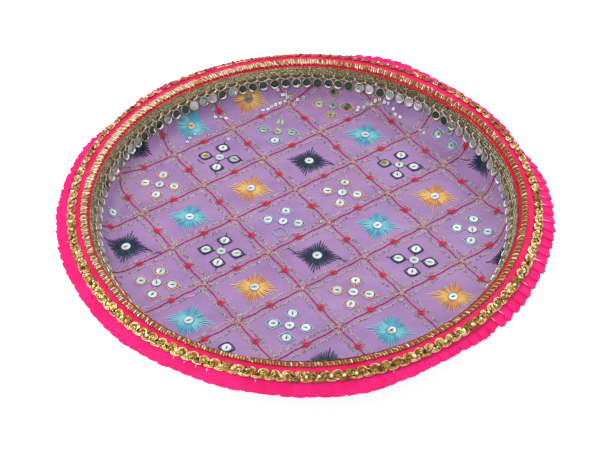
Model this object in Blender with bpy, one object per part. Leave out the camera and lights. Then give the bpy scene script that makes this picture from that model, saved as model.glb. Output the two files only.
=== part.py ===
"""A round cloth-lined platter: a pressed steel tray with an embroidered lining, laces round its rim
and a pink frill. Sizes are in millimetres here and are written to the meshes in metres. The origin
is the centre of the underside, with +Z up."""

import math

import bmesh
import bpy

# Pressed steel tray
SHEET = 0.8
FLOOR_RADIUS = 133.7
CORNER_RADIUS = 13.0
WALL_ANGLE = math.radians(65.0)
WALL_TOP = 29.5
CROWN_RADIUS = 11.0
CROWN_INNER_ANGLE = math.radians(30.2)
CROWN_MARGIN = 0.35
EDGE_BEAD_RADIUS = 1.6

# Clearance left between glued or sewn layers, and the extra lift over faceted walls
SEAT = 0.3
FACET_ALLOWANCE = 0.4

# Floor board and cloth lining
BOARD_THICKNESS = 1.0
BOARD_EDGE_GAP = 0.7
CLOTH_THICKNESS = 0.6
CLOTH_CORNER_RADIUS = 12.1

# Ribbon over the rim, from its inner edge outwards
RIBBON_THICKNESS = 0.8
RIBBON_OVERHANG = 1.27
INNER_STRIP = 2.2
BRAID_WIDTH = 4.8
BRAID_HEIGHT = 1.3
MIDDLE_STRIP = 4.0

# Bead lace along the outer half of the rim
BEAD_LACE_WIDTH = 7.3
BEAD_LACE_THICKNESS = 1.0
BEAD_PITCH = 8.0
BEAD_WIDTH = 4.2
BEAD_HEIGHT = 1.4
SCALLOP_DEPTH = 1.1

# Frill sewn under the bead lace
FRILL_HEADING = 4.5
FRILL_LENGTH = 8.3
FRILL_THICKNESS = 0.7
FRILL_SLOPE = math.radians(21.0)
FRILL_SLIT = 1.2
FRILL_PLEAT = 0.45
FRILL_RIBBON_GAP = 0.8

# Mirror lace hanging down the inside of the wall
LACE_TOP_GAP = 0.7
LACE_THICKNESS = 0.8
LACE_BAND = 5.2
LACE_LOOP = 2.6
DROP_DIAMETER = 8.0
DROP_PITCH = 8.65
DROP_NECK = 1.2

# Embroidery: a rectangular lattice turned across the floor, measured flat along the cloth
CELL_SHORT = 43.6
CELL_LONG = 53.9
LATTICE_TURN = math.radians(-55.9)
LATTICE_CORNER = (-5.95, 38.1)
THREAD_WIDTH = 1.4
THREAD_HEIGHT = 0.6
KNOT_WIDTH = 5.4
LATTICE_EDGE_GAP = 2.0
SEQUIN_DIAMETER = 7.2
SEQUIN_HEIGHT = 0.35
STITCH_HEIGHT = 0.45
STAR_REACH = 15.2
STAR_WAIST = 8.0
MIRROR_FRAME = 8.0
FRAME_LINK = 1.1
MOTIF_LACE_GAP = 0.8

# Steps round the platter and along its curves
RIM_STEPS = 48
CORNER_STEPS = 3
CROWN_STEPS = 3
BEAD_STEPS = 5
BRAID_STEPS = 3
WALL_STITCH_STEP = 8.0

MM = 0.001
SMOOTH_ANGLE = math.radians(35.0)

# Heights of the layers on the floor
BOARD_BASE = SHEET + SEAT
CLOTH_BASE = BOARD_BASE + BOARD_THICKNESS + SEAT
FLOOR_TOP = CLOTH_BASE + CLOTH_THICKNESS

# Unit direction up the wall and its outward normal, as radius and height
UP_WALL = (math.cos(WALL_ANGLE), math.sin(WALL_ANGLE))
OUT_OF_WALL = (math.sin(WALL_ANGLE), -math.cos(WALL_ANGLE))

# Top of the tray's inner wall face, and the centre of the crown that starts there
WALL_RUN = (WALL_TOP - SHEET - CORNER_RADIUS * (1.0 - UP_WALL[0])) / math.tan(WALL_ANGLE)
WALL_TOP_RADIUS = FLOOR_RADIUS + CORNER_RADIUS * UP_WALL[1] + WALL_RUN
CROWN_CENTRE = (
    WALL_TOP_RADIUS + CROWN_RADIUS * math.sin(CROWN_INNER_ANGLE),
    WALL_TOP - CROWN_RADIUS * math.cos(CROWN_INNER_ANGLE),
)

# Radii about the crown's centre of what lies over it
CLOTH_UNDER = CROWN_RADIUS + SEAT
CLOTH_OVER = CLOTH_UNDER + CLOTH_THICKNESS
RIBBON_UNDER = CLOTH_OVER + SEAT
RIBBON_OVER = RIBBON_UNDER + RIBBON_THICKNESS
TRIM_UNDER = RIBBON_OVER + SEAT

# Places across the crown, as angles from straight up, positive outwards
RIBBON_START = -CROWN_INNER_ANGLE - RIBBON_OVERHANG / RIBBON_OVER
BRAID_START = RIBBON_START + INNER_STRIP / RIBBON_OVER
BRAID_END = BRAID_START + BRAID_WIDTH / TRIM_UNDER
BEAD_LACE_START = BRAID_END + MIDDLE_STRIP / RIBBON_OVER
BEAD_LACE_END = BEAD_LACE_START + BEAD_LACE_WIDTH / TRIM_UNDER
FRILL_ROOT = BEAD_LACE_END + 0.01
FRILL_START = FRILL_ROOT - FRILL_HEADING / RIBBON_UNDER
RIBBON_END = FRILL_START - FRILL_RIBBON_GAP / RIBBON_UNDER
CROWN_OUTER_ANGLE = BEAD_LACE_END + CROWN_MARGIN / CROWN_RADIUS

# The cloth's wall face, offset inwards from the tray's
CLOTH_WALL_OFFSET = SEAT + CLOTH_THICKNESS


def crown(radius, angle):
    """Radius and height of a point over the crown."""
    return (
        CROWN_CENTRE[0] + radius * math.sin(angle),
        CROWN_CENTRE[1] + radius * math.cos(angle),
    )


def arc(centre, radius, start, end, steps):
    """Points of an arc, as radius and height, with angles from straight up."""
    points = []
    for step in range(steps + 1):
        angle = start + (end - start) * step / steps
        points.append((centre[0] + radius * math.sin(angle), centre[1] + radius * math.cos(angle)))
    return points


def wall_point(offset, height):
    """The radius at a height on a line parallel to the tray's inner wall, offset inwards."""
    base = (WALL_TOP_RADIUS - offset * OUT_OF_WALL[0], WALL_TOP - offset * OUT_OF_WALL[1])
    return (base[0] + (height - base[1]) * UP_WALL[0] / UP_WALL[1], height)


def wall_meets_crown(offset, radius):
    """Angle over the crown at which an offset wall line runs into a circle about its centre."""
    start = wall_point(offset, CROWN_CENTRE[1])
    away = start[0] - CROWN_CENTRE[0]
    along = away * UP_WALL[0]
    climb = math.sqrt(along**2 - away**2 + radius**2) - along
    return math.atan2(away + climb * UP_WALL[0], climb * UP_WALL[1])


def corner_centre(offset, floor, radius):
    """Centre of the fillet between a floor height and an offset wall."""
    foot = wall_point(offset, floor + radius)
    return (foot[0] - radius / OUT_OF_WALL[0], floor + radius)


def corner(offset, floor, radius, grow=0.0):
    """The fillet from the floor up to the wall, grown outwards for a lower face."""
    centre = corner_centre(offset, floor, radius)
    return arc(centre, radius + grow, math.pi, math.pi - WALL_ANGLE, CORNER_STEPS)


CLOTH_CENTRE = corner_centre(CLOTH_WALL_OFFSET, FLOOR_TOP, CLOTH_CORNER_RADIUS)
CLOTH_FLOOR_RADIUS = CLOTH_CENTRE[0]
CLOTH_CORNER_LENGTH = CLOTH_CORNER_RADIUS * WALL_ANGLE

# The mirror lace starts just below the ribbon's inner edge and hangs down the wall
LACE_LIFT = SEAT + FACET_ALLOWANCE
LACE_TOP_HEIGHT = crown(RIBBON_UNDER, RIBBON_START)[1] - LACE_TOP_GAP
LACE_TOP = wall_point(CLOTH_WALL_OFFSET + LACE_LIFT, LACE_TOP_HEIGHT)
LACE_LENGTH = LACE_BAND + LACE_LOOP + DROP_DIAMETER
LACE_BOTTOM_HEIGHT = LACE_TOP_HEIGHT - LACE_LENGTH * UP_WALL[1]

# How far the embroidery runs, measured flat along the cloth from the platter's centre
CLOTH_WALL_FOOT = CLOTH_CENTRE[1] - CLOTH_CORNER_RADIUS * UP_WALL[0]
STITCH_LIMIT = (
    CLOTH_FLOOR_RADIUS
    + CLOTH_CORNER_LENGTH
    + (LACE_BOTTOM_HEIGHT - CLOTH_WALL_FOOT) / UP_WALL[1]
    - LATTICE_EDGE_GAP
)

# Repeats round the platter; beads come in fours, which keeps the outline symmetrical
DROP_CIRCLE = LACE_TOP[0] - (LACE_LENGTH - DROP_DIAMETER / 2.0) * UP_WALL[0]
DROP_COUNT = round(2.0 * math.pi * DROP_CIRCLE / DROP_PITCH)
BEAD_LACE_MIDDLE = (BEAD_LACE_START + BEAD_LACE_END) / 2.0
BEAD_COUNT = 4 * round(math.pi * crown(TRIM_UNDER, BEAD_LACE_MIDDLE)[0] / BEAD_PITCH / 2.0)


def new_material(name, colour, roughness, metallic=0.0):
    """A Principled material."""
    material = bpy.data.materials.new(name)
    material.use_nodes = True
    shader = material.node_tree.nodes["Principled BSDF"]
    shader.inputs["Base Color"].default_value = (*colour, 1.0)
    shader.inputs["Roughness"].default_value = roughness
    shader.inputs["Metallic"].default_value = metallic
    material.diffuse_color = (*colour, 1.0)
    return material


def finish_object(name, bm, material):
    """Makes an object of a bmesh, with its faces pointing out and its round sides smooth."""
    bmesh.ops.recalc_face_normals(bm, faces=bm.faces)
    mesh = bpy.data.meshes.new(name)
    bm.to_mesh(mesh)
    bm.free()
    mesh.materials.append(material)
    mesh.shade_smooth()
    mesh.set_sharp_from_angle(angle=SMOOTH_ANGLE)
    piece = bpy.data.objects.new(name, mesh)
    bpy.context.collection.objects.link(piece)
    return piece


def turn(name, profile, material):
    """Spins a closed profile of radius and height points round the Z axis."""
    bm = bmesh.new()
    ring = [bm.verts.new((radius * MM, 0.0, height * MM)) for radius, height in profile]
    edges = []
    for here, there in zip(ring, ring[1:] + ring[:1]):
        on_axis = here.co.x < 1e-9 and there.co.x < 1e-9
        if not on_axis:
            edges.append(bm.edges.new((here, there)))
    bmesh.ops.spin(
        bm,
        geom=ring + edges,
        cent=(0.0, 0.0, 0.0),
        axis=(0.0, 0.0, 1.0),
        angle=2.0 * math.pi,
        steps=RIM_STEPS,
        use_merge=True,
    )
    bmesh.ops.remove_doubles(bm, verts=bm.verts, dist=1e-6)
    return finish_object(name, bm, material)


def relief(name, tops, place, material, base_lift=0.0, thickness=None, bases=None):
    """A thin solid from a patchwork of polygons with (x, y, lift) corners. Its open edges get walls
    down to base_lift, or to a constant thickness, and place() turns a corner into millimetres."""
    bm = bmesh.new()
    made = {}

    def corner_vertex(x, y, lift):
        key = (round(x, 5), round(y, 5), round(lift, 5))
        if key not in made:
            made[key] = bm.verts.new([value * MM for value in place(x, y, lift)])
        return made[key]

    def under(x, y, lift):
        lower = base_lift if thickness is None else lift - thickness
        return corner_vertex(x, y, lower)

    edge_uses = {}
    for polygon in tops:
        bm.faces.new([corner_vertex(*point) for point in polygon])
        for here, there in zip(polygon, polygon[1:] + polygon[:1]):
            ends = (made_key(here), made_key(there))
            if (ends[1], ends[0]) in edge_uses:
                del edge_uses[(ends[1], ends[0])]
            else:
                edge_uses[ends] = (here, there)
    for here, there in edge_uses.values():
        bm.faces.new([corner_vertex(*there), corner_vertex(*here), under(*here), under(*there)])
    for polygon in bases or tops:
        flat = [under(*point) for point in reversed(polygon)]
        if len(set(flat)) == len(flat):
            bm.faces.new(flat)
    return finish_object(name, bm, material)


def made_key(point):
    """Rounded corner, so that shared corners are found."""
    return tuple(round(value, 5) for value in point)


def make_tray():
    """The pressed tray: floor, corner, wall, crowned rim and rolled edge."""
    inner = corner(0.0, SHEET, CORNER_RADIUS)
    outer = corner(0.0, SHEET, CORNER_RADIUS, grow=SHEET)
    under = CROWN_RADIUS - SHEET
    bead_centre = crown(CROWN_RADIUS - EDGE_BEAD_RADIUS, CROWN_OUTER_ANGLE)
    over_rim = arc(CROWN_CENTRE, CROWN_RADIUS, -CROWN_INNER_ANGLE, CROWN_OUTER_ANGLE, CROWN_STEPS)
    bead_turn = math.radians(235.0)
    bead_end = CROWN_OUTER_ANGLE + bead_turn
    bead = arc(bead_centre, EDGE_BEAD_RADIUS, CROWN_OUTER_ANGLE, bead_end, BEAD_STEPS)
    under_outer = CROWN_OUTER_ANGLE - 2.0 * EDGE_BEAD_RADIUS / under
    under_inner = wall_meets_crown(-SHEET, under)
    under_rim = arc(CROWN_CENTRE, under, under_outer, under_inner, CROWN_STEPS)
    profile = [(0.0, SHEET)] + inner + over_rim + bead[1:] + under_rim
    profile += list(reversed(outer)) + [(0.0, 0.0)]
    steel = new_material("tinned_steel", (0.62, 0.62, 0.63), 0.35, 1.0)
    return turn("tray_shell", profile, steel)


def make_board():
    """Hardboard disc on the tray's floor, which keeps the cloth flat."""
    radius = FLOOR_RADIUS - BOARD_EDGE_GAP
    top = BOARD_BASE + BOARD_THICKNESS
    profile = [(0.0, top), (radius, top), (radius, BOARD_BASE), (0.0, BOARD_BASE)]
    return turn("floor_board", profile, new_material("hardboard", (0.36, 0.24, 0.15), 0.8))


def make_cloth():
    """Lilac cloth over the floor, up the wall and over the rim."""
    over = corner(CLOTH_WALL_OFFSET, FLOOR_TOP, CLOTH_CORNER_RADIUS)
    below = corner(CLOTH_WALL_OFFSET, FLOOR_TOP, CLOTH_CORNER_RADIUS, grow=CLOTH_THICKNESS)
    over_start = wall_meets_crown(CLOTH_WALL_OFFSET, CLOTH_OVER)
    under_start = wall_meets_crown(SEAT, CLOTH_UNDER)
    over_rim = arc(CROWN_CENTRE, CLOTH_OVER, over_start, FRILL_ROOT, CROWN_STEPS)
    under_rim = arc(CROWN_CENTRE, CLOTH_UNDER, under_start, FRILL_ROOT, CROWN_STEPS)
    profile = [(0.0, FLOOR_TOP)] + over + over_rim + list(reversed(under_rim))
    profile += list(reversed(below)) + [(0.0, CLOTH_BASE)]
    return turn("embroidered_cloth", profile, new_material("lilac_satin", (0.42, 0.22, 0.50), 0.45))


def make_ribbon():
    """Pink ribbon over the rim."""
    over = arc(CROWN_CENTRE, RIBBON_OVER, RIBBON_START, RIBBON_END, CROWN_STEPS)
    below = arc(CROWN_CENTRE, RIBBON_UNDER, RIBBON_START, RIBBON_END, CROWN_STEPS)
    pink = new_material("pink_ribbon", (0.80, 0.02, 0.11), 0.5)
    return turn("rim_ribbon", over + list(reversed(below)), pink)


def make_braid():
    """Rounded gold braid along the inner side of the rim."""
    profile = []
    for step in range(BRAID_STEPS + 1):
        share = step / BRAID_STEPS
        angle = BRAID_START + (BRAID_END - BRAID_START) * share
        height = BRAID_HEIGHT * (0.45 + 0.55 * math.sin(math.pi * share))
        profile.append(crown(TRIM_UNDER + height, angle))
    profile += arc(CROWN_CENTRE, TRIM_UNDER, BRAID_END, BRAID_START, 2)
    gold = new_material("gold_braid", (0.62, 0.42, 0.16), 0.35, 0.8)
    return turn("inner_gold_braid", profile, gold)


def make_bead_lace():
    """Scalloped gold lace with one faceted bead in each repeat."""
    pitch = 2.0 * math.pi / BEAD_COUNT
    half_width = BEAD_LACE_WIDTH / 2.0
    bead_share = BEAD_WIDTH / BEAD_PITCH / 2.0
    valley = half_width - SCALLOP_DEPTH
    bead = min(BEAD_WIDTH / 2.0, valley * 0.9)

    def place(x, y, lift):
        radius, height = crown(TRIM_UNDER + lift, BEAD_LACE_MIDDLE + y / TRIM_UNDER)
        turned = (x % BEAD_COUNT) * pitch
        return (radius * math.cos(turned), radius * math.sin(turned), height)

    tops = []
    top = BEAD_LACE_THICKNESS
    for repeat in range(BEAD_COUNT):
        here, there = repeat, (repeat + 1) % BEAD_COUNT
        centre = repeat + 0.5
        inner_here, inner_there = (here, -valley, top), (there, -valley, top)
        outer_here, outer_there = (here, valley, top), (there, valley, top)
        inner_crest, outer_crest = (centre, -half_width, top), (centre, half_width, top)
        bead_in, bead_out = (centre, -bead, top), (centre, bead, top)
        bead_left, bead_right = (centre - bead_share, 0.0, top), (centre + bead_share, 0.0, top)
        peak = (centre, 0.0, top + BEAD_HEIGHT)
        tops.append([inner_crest, inner_here, bead_left, bead_in])
        tops.append([inner_there, inner_crest, bead_in, bead_right])
        tops.append([outer_there, inner_there, bead_right])
        tops.append([outer_crest, outer_there, bead_right, bead_out])
        tops.append([outer_here, outer_crest, bead_out, bead_left])
        tops.append([inner_here, outer_here, bead_left])
        tops.append([bead_in, bead_left, peak])
        tops.append([bead_right, bead_in, peak])
        tops.append([bead_out, bead_right, peak])
        tops.append([bead_left, bead_out, peak])
    bases = []
    for repeat in range(BEAD_COUNT):
        here, there, centre = repeat, (repeat + 1) % BEAD_COUNT, repeat + 0.5
        inner = [(there, -valley, top), (centre, -half_width, top), (here, -valley, top)]
        outer = [(here, valley, top), (centre, half_width, top), (there, valley, top)]
        bases.append(inner + outer)
    gold = new_material("bead_gold", (0.72, 0.50, 0.20), 0.3, 0.9)
    return relief("outer_bead_lace", tops, place, gold, bases=bases)


def make_frill():
    """Pleated pink frill: a heading under the bead lace and a row of short tabs."""
    pitch = 2.0 * math.pi / BEAD_COUNT
    root = crown(RIBBON_UNDER, FRILL_ROOT)
    slit = FRILL_SLIT / (pitch * root[0]) / 2.0

    def place(x, y, lift):
        if y <= 0.0:
            radius, height = crown(RIBBON_UNDER + lift, FRILL_ROOT + y / RIBBON_UNDER)
        else:
            radius = root[0] + y * math.cos(FRILL_SLOPE) + FRILL_THICKNESS / 2.0
            height = root[1] - y * math.sin(FRILL_SLOPE) + lift
        turned = (x % BEAD_COUNT) * pitch
        return (radius * math.cos(turned), radius * math.sin(turned), height)

    tops = []
    top = FRILL_THICKNESS
    for tab in range(BEAD_COUNT):
        here, there = tab, (tab + 1) % BEAD_COUNT
        heading_here, heading_there = (here, -FRILL_HEADING, top), (there, -FRILL_HEADING, top)
        root_here, root_there = (here, 0.0, top), (there, 0.0, top)
        tip_left = (tab + slit, FRILL_LENGTH, top + FRILL_PLEAT)
        tip_right = (tab + 1 - slit, FRILL_LENGTH, top - FRILL_PLEAT)
        tops.append([heading_there, heading_here, root_here, root_there])
        tops.append([root_there, root_here, tip_left, tip_right])
    pink = new_material("hot_pink_frill", (0.95, 0.02, 0.22), 0.7)
    return relief("pink_frill", tops, place, pink, thickness=FRILL_THICKNESS)


def make_mirror_lace():
    """Gold band under the rim with a row of small round mirrors on looped threads."""
    pitch = 2.0 * math.pi / DROP_COUNT
    circle = pitch * DROP_CIRCLE
    half_neck = DROP_NECK / circle / 2.0
    half_drop = min(DROP_DIAMETER / circle / 2.0, 0.47)
    half_flat = half_drop * 0.5
    neck = LACE_BAND + LACE_LOOP
    waist = neck + DROP_DIAMETER / 2.0
    bottom = neck + DROP_DIAMETER

    def place(x, y, lift):
        radius = LACE_TOP[0] - y * UP_WALL[0] - lift * OUT_OF_WALL[0]
        height = LACE_TOP[1] - y * UP_WALL[1] - lift * OUT_OF_WALL[1]
        turned = (x % DROP_COUNT) * pitch
        return (radius * math.cos(turned), radius * math.sin(turned), height)

    tops = []
    top = LACE_THICKNESS
    for repeat in range(DROP_COUNT):
        here, there, centre = repeat, (repeat + 1) % DROP_COUNT, repeat + 0.5
        band_here, band_there = (here, LACE_BAND, top), (there, LACE_BAND, top)
        neck_left, neck_right = (centre - half_neck, neck, top), (centre + half_neck, neck, top)
        tops.append([(here, 0.0, top), (there, 0.0, top), band_there, band_here])
        tops.append([band_here, band_there, neck_right, neck_left])
        tops.append(
            [
                neck_left,
                neck_right,
                (centre + half_drop, waist, top),
                (centre + half_flat, bottom, top),
                (centre - half_flat, bottom, top),
                (centre - half_drop, waist, top),
            ]
        )
    silver = new_material("mirror_lace", (0.70, 0.62, 0.45), 0.2, 0.9)
    return relief("mirror_lace", tops, place, silver)


def on_cloth(x, y, lift):
    """A point lifted off the cloth, from coordinates measured flat along it."""
    flat_radius = math.hypot(x, y)
    if flat_radius <= CLOTH_FLOOR_RADIUS:
        return (x, y, FLOOR_TOP + SEAT + lift)
    along = flat_radius - CLOTH_FLOOR_RADIUS
    raised = SEAT + lift + FACET_ALLOWANCE * min(1.0, along / CLOTH_THICKNESS)
    angle = min(along / CLOTH_CORNER_RADIUS, WALL_ANGLE)
    radius = CLOTH_CENTRE[0] + (CLOTH_CORNER_RADIUS - raised) * math.sin(angle)
    height = CLOTH_CENTRE[1] - (CLOTH_CORNER_RADIUS - raised) * math.cos(angle)
    beyond = max(0.0, along - CLOTH_CORNER_LENGTH)
    radius += beyond * UP_WALL[0]
    height += beyond * UP_WALL[1]
    return (x / flat_radius * radius, y / flat_radius * radius, height)


def lattice_point(across, along):
    """Flat coordinates on the cloth, from distances along the lattice's short and long sides."""
    cosine, sine = math.cos(LATTICE_TURN), math.sin(LATTICE_TURN)
    x = LATTICE_CORNER[0] + across * cosine - along * sine
    y = LATTICE_CORNER[1] + across * sine + along * cosine
    return (x, y)


def place_on_lattice(across, along, lift):
    """Point in millimetres, from lattice coordinates."""
    return on_cloth(*lattice_point(across, along), lift)


def flat_distance(across, along):
    """Distance from the platter's centre, measured along the cloth."""
    return math.hypot(*lattice_point(across, along))


def line_limits(swap, offset, circle=STITCH_LIMIT):
    """Where a lattice line enters and leaves a circle about the platter's centre."""
    cosine, sine = math.cos(LATTICE_TURN), math.sin(LATTICE_TURN)
    centre_across = -(LATTICE_CORNER[0] * cosine + LATTICE_CORNER[1] * sine)
    centre_along = LATTICE_CORNER[0] * sine - LATTICE_CORNER[1] * cosine
    middle, away = centre_across, offset - centre_along
    if swap:
        middle, away = centre_along, offset - centre_across
    if abs(away) >= circle - THREAD_WIDTH:
        return None
    half = math.sqrt(circle**2 - away**2)
    return (middle - half, middle + half)


def crossing_inside(across, along):
    """Whether a crossing of two lattice lines lies within the stitched circle."""
    return flat_distance(across, along) < STITCH_LIMIT - THREAD_WIDTH


def lattice_line(offset, spacing, swap):
    """Polygons of one stitched line, with knots half way between its crossings. A line that meets
    no other within the stitched circle is left out."""
    limits = line_limits(swap, offset)
    if limits is None:
        return []
    half = THREAD_WIDTH / 2.0
    knot = KNOT_WIDTH / 2.0
    floor_limits = line_limits(swap, offset, CLOTH_FLOOR_RADIUS) or []
    first = math.ceil(limits[0] / spacing - 1.0)
    last = math.floor(limits[1] / spacing + 1.0)
    polygons = []

    def turned(along, side):
        return (side, along) if swap else (along, side)

    def corners(points):
        flat = [(*turned(along, side), THREAD_HEIGHT) for along, side in points]
        return list(reversed(flat)) if swap else flat

    def bar(start, end):
        stops = [start] + [stop for stop in floor_limits if start < stop < end] + [end]
        for low, high in zip(stops, stops[1:]):
            on_wall = flat_distance(*turned((low + high) / 2.0, offset)) > CLOTH_FLOOR_RADIUS
            pieces = math.ceil((high - low) / WALL_STITCH_STEP) if on_wall else 1
            for piece in range(pieces):
                near = low + (high - low) * piece / pieces
                far = low + (high - low) * (piece + 1) / pieces
                box = [(near, offset - half), (far, offset - half)]
                box += [(far, offset + half), (near, offset + half)]
                polygons.append(corners(box))

    reached = limits[0]
    crossings = 0
    for index in range(first, last + 1):
        crossing = index * spacing
        if crossing_inside(*turned(crossing, offset)):
            bar(reached, crossing - half)
            reached = crossing + half
            crossings += 1
        middle = crossing + spacing / 2.0
        inside = limits[0] + spacing / 4.0 < middle < limits[1] - spacing / 4.0
        if inside and flat_distance(*turned(middle, offset)) + knot < CLOTH_FLOOR_RADIUS:
            bar(reached, middle - knot)
            near_side = [(middle - knot, offset - half), (middle, offset - knot)]
            far_side = [(middle + knot, offset + half), (middle, offset + knot)]
            near_side.append((middle + knot, offset - half))
            far_side.append((middle - knot, offset + half))
            polygons.append(corners(near_side + far_side))
            reached = middle + knot
    bar(reached, limits[1])
    return polygons if crossings else []


def make_lattice():
    """Red couched lines in one net, with a knot half way along each side of a cell."""
    polygons = []
    half = THREAD_WIDTH / 2.0
    reach = math.ceil(2.0 * STITCH_LIMIT / CELL_SHORT)
    for index in range(-reach, reach + 1):
        polygons += lattice_line(index * CELL_LONG, CELL_SHORT, swap=False)
        polygons += lattice_line(index * CELL_SHORT, CELL_LONG, swap=True)
    for i in range(-reach, reach + 1):
        for j in range(-reach, reach + 1):
            a, b = i * CELL_SHORT, j * CELL_LONG
            if crossing_inside(a, b):
                box = [(a - half, b - half), (a + half, b - half)]
                box += [(a + half, b + half), (a - half, b + half)]
                polygons.append([(u, v, THREAD_HEIGHT) for u, v in box])
    red = new_material("red_thread", (0.72, 0.02, 0.06), 0.5)
    return relief("red_lattice_stitching", polygons, place_on_lattice, red)


def sequin_top(centre, radius, sides, start):
    """Corners of a sequin's face, which stands a little above the stitches round it."""
    face = []
    for side in range(sides):
        angle = start + 2.0 * math.pi * side / sides
        u = centre[0] + radius * math.cos(angle)
        v = centre[1] + radius * math.sin(angle)
        face.append((u, v, STITCH_HEIGHT + SEQUIN_HEIGHT))
    return face


def make_star(name, centre, material):
    """Four-pointed satin-stitch star with a sequin at its middle."""
    sides = 12
    start = math.radians(45.0)
    outline = []
    for side in range(sides):
        angle = start + 2.0 * math.pi * side / sides
        reach = STAR_REACH if side % 3 == 0 else STAR_WAIST
        u = centre[0] + reach * math.cos(angle)
        v = centre[1] + reach * math.sin(angle)
        outline.append((u, v, STITCH_HEIGHT))
    face = sequin_top(centre, SEQUIN_DIAMETER / 2.0, sides, start)
    tops = [face]
    for side in range(sides):
        after = (side + 1) % sides
        tops.append([outline[side], outline[after], face[after], face[side]])
    bases = [outline] if on_floor(outline) else tops
    return relief(name, tops, place_on_lattice, material, bases=bases)


def on_floor(outline):
    """Whether a whole outline lies on the flat floor."""
    return all(flat_distance(u, v) < CLOTH_FLOOR_RADIUS for u, v, lift in outline)


def framed_sequin(centre, joined):
    """Polygons of one sequin in its square thread frame. joined lists the corners, as sign pairs,
    where the frame runs on into its neighbour's."""
    half = MIRROR_FRAME / 2.0
    link = FRAME_LINK / math.sqrt(8.0)
    radius = min(SEQUIN_DIAMETER / 2.0, half * 0.92)
    face = sequin_top(centre, radius, 8, math.radians(22.5))
    tops = [face]
    outline = []
    corner_parts = []
    for quarter, (su, sv) in enumerate([(1, 1), (-1, 1), (-1, -1), (1, -1)]):
        u, v = centre[0] + su * half, centre[1] + sv * half
        if (su, sv) in joined:
            part = [(u, v - 2 * sv * link), (u + su * link, v - sv * link)]
            part += [(u - su * link, v + sv * link), (u - 2 * su * link, v)]
            if su * sv < 0:
                part.reverse()
        else:
            part = [(u, v)]
        part = [(pu, pv, STITCH_HEIGHT) for pu, pv in part]
        corner_parts.append(part)
        outline += part
        near, far = face[(2 * quarter) % 8], face[(2 * quarter + 1) % 8]
        tops.append(part + [far, near])
    for quarter in range(4):
        part, following = corner_parts[quarter], corner_parts[(quarter + 1) % 4]
        near, far = face[(2 * quarter + 1) % 8], face[(2 * quarter + 2) % 8]
        tops.append([part[-1], following[0], far, near])
    return outline, tops


def make_mirror_group(name, centre, material):
    """Five sequins in thread frames, one at the middle and one off each of its corners."""
    signs = [(1, 1), (-1, 1), (-1, -1), (1, -1)]
    outline, tops = framed_sequin(centre, signs)
    bases = [outline]
    flat = on_floor(outline)
    for su, sv in signs:
        beside = (centre[0] + su * MIRROR_FRAME, centre[1] + sv * MIRROR_FRAME)
        outline, more = framed_sequin(beside, [(-su, -sv)])
        flat = flat and on_floor(outline)
        bases.append(outline)
        tops += more
    return relief(name, tops, place_on_lattice, material, bases=bases if flat else tops)


def make_motifs():
    """One star or group of mirrors in each cell that clears the mirror lace. Six kinds take turns
    across the lattice, and each kind is numbered from the platter's centre outwards."""
    turquoise = new_material("turquoise_thread", (0.03, 0.42, 0.55), 0.45)
    navy = new_material("navy_thread", (0.02, 0.05, 0.12), 0.45)
    orange = new_material("orange_thread", (0.72, 0.36, 0.06), 0.45)
    sky = new_material("sky_thread", (0.25, 0.55, 0.72), 0.45)
    kinds = [
        ("turquoise_star", make_star, turquoise),
        ("navy_mirrors", make_mirror_group, navy),
        ("orange_star", make_star, orange),
        ("sky_mirrors", make_mirror_group, sky),
        ("navy_star", make_star, navy),
        ("orange_mirrors", make_mirror_group, orange),
    ]
    reach = math.ceil(2.0 * STITCH_LIMIT / CELL_SHORT)
    cells = []
    for i in range(-reach, reach + 1):
        for j in range(-reach, reach + 1):
            centre = ((i + 0.5) * CELL_SHORT, (j + 0.5) * CELL_LONG)
            far = flat_distance(*centre)
            if far + STAR_REACH + MOTIF_LACE_GAP < STITCH_LIMIT:
                cells.append((far, centre, (i + 2 * j + 5) % len(kinds)))
    counts = [0] * len(kinds)
    for far, centre, turn_of in sorted(cells):
        kind, make, material = kinds[turn_of]
        counts[turn_of] += 1
        make(f"{kind}_{counts[turn_of]}", centre, material)


def main():
    for thing in list(bpy.data.objects):
        bpy.data.objects.remove(thing, do_unlink=True)
    make_tray()
    make_board()
    make_cloth()
    make_ribbon()
    make_braid()
    make_bead_lace()
    make_frill()
    make_mirror_lace()
    make_lattice()
    make_motifs()


main()
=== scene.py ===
"""Looks of the cloth-lined round platter: cloth, laces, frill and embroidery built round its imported
solids. Sizes are in millimetres until they reach a mesh, in the frame of the solids."""

import math
import random

import bmesh
import bpy
import numpy as np
from mathutils import Matrix, Vector


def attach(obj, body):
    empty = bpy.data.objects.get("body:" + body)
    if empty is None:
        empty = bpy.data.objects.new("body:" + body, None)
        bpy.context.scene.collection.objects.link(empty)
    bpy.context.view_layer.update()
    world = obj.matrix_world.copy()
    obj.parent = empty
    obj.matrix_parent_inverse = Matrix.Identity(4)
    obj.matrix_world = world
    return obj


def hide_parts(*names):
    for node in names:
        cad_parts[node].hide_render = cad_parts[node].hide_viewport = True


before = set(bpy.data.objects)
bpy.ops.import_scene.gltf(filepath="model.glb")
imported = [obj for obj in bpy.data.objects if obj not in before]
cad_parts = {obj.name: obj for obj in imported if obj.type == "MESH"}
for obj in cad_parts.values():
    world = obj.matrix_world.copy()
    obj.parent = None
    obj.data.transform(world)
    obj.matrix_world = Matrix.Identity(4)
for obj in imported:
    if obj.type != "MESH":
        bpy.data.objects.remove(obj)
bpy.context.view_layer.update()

MM = 0.001
TURN = 2.0 * math.pi

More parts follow.
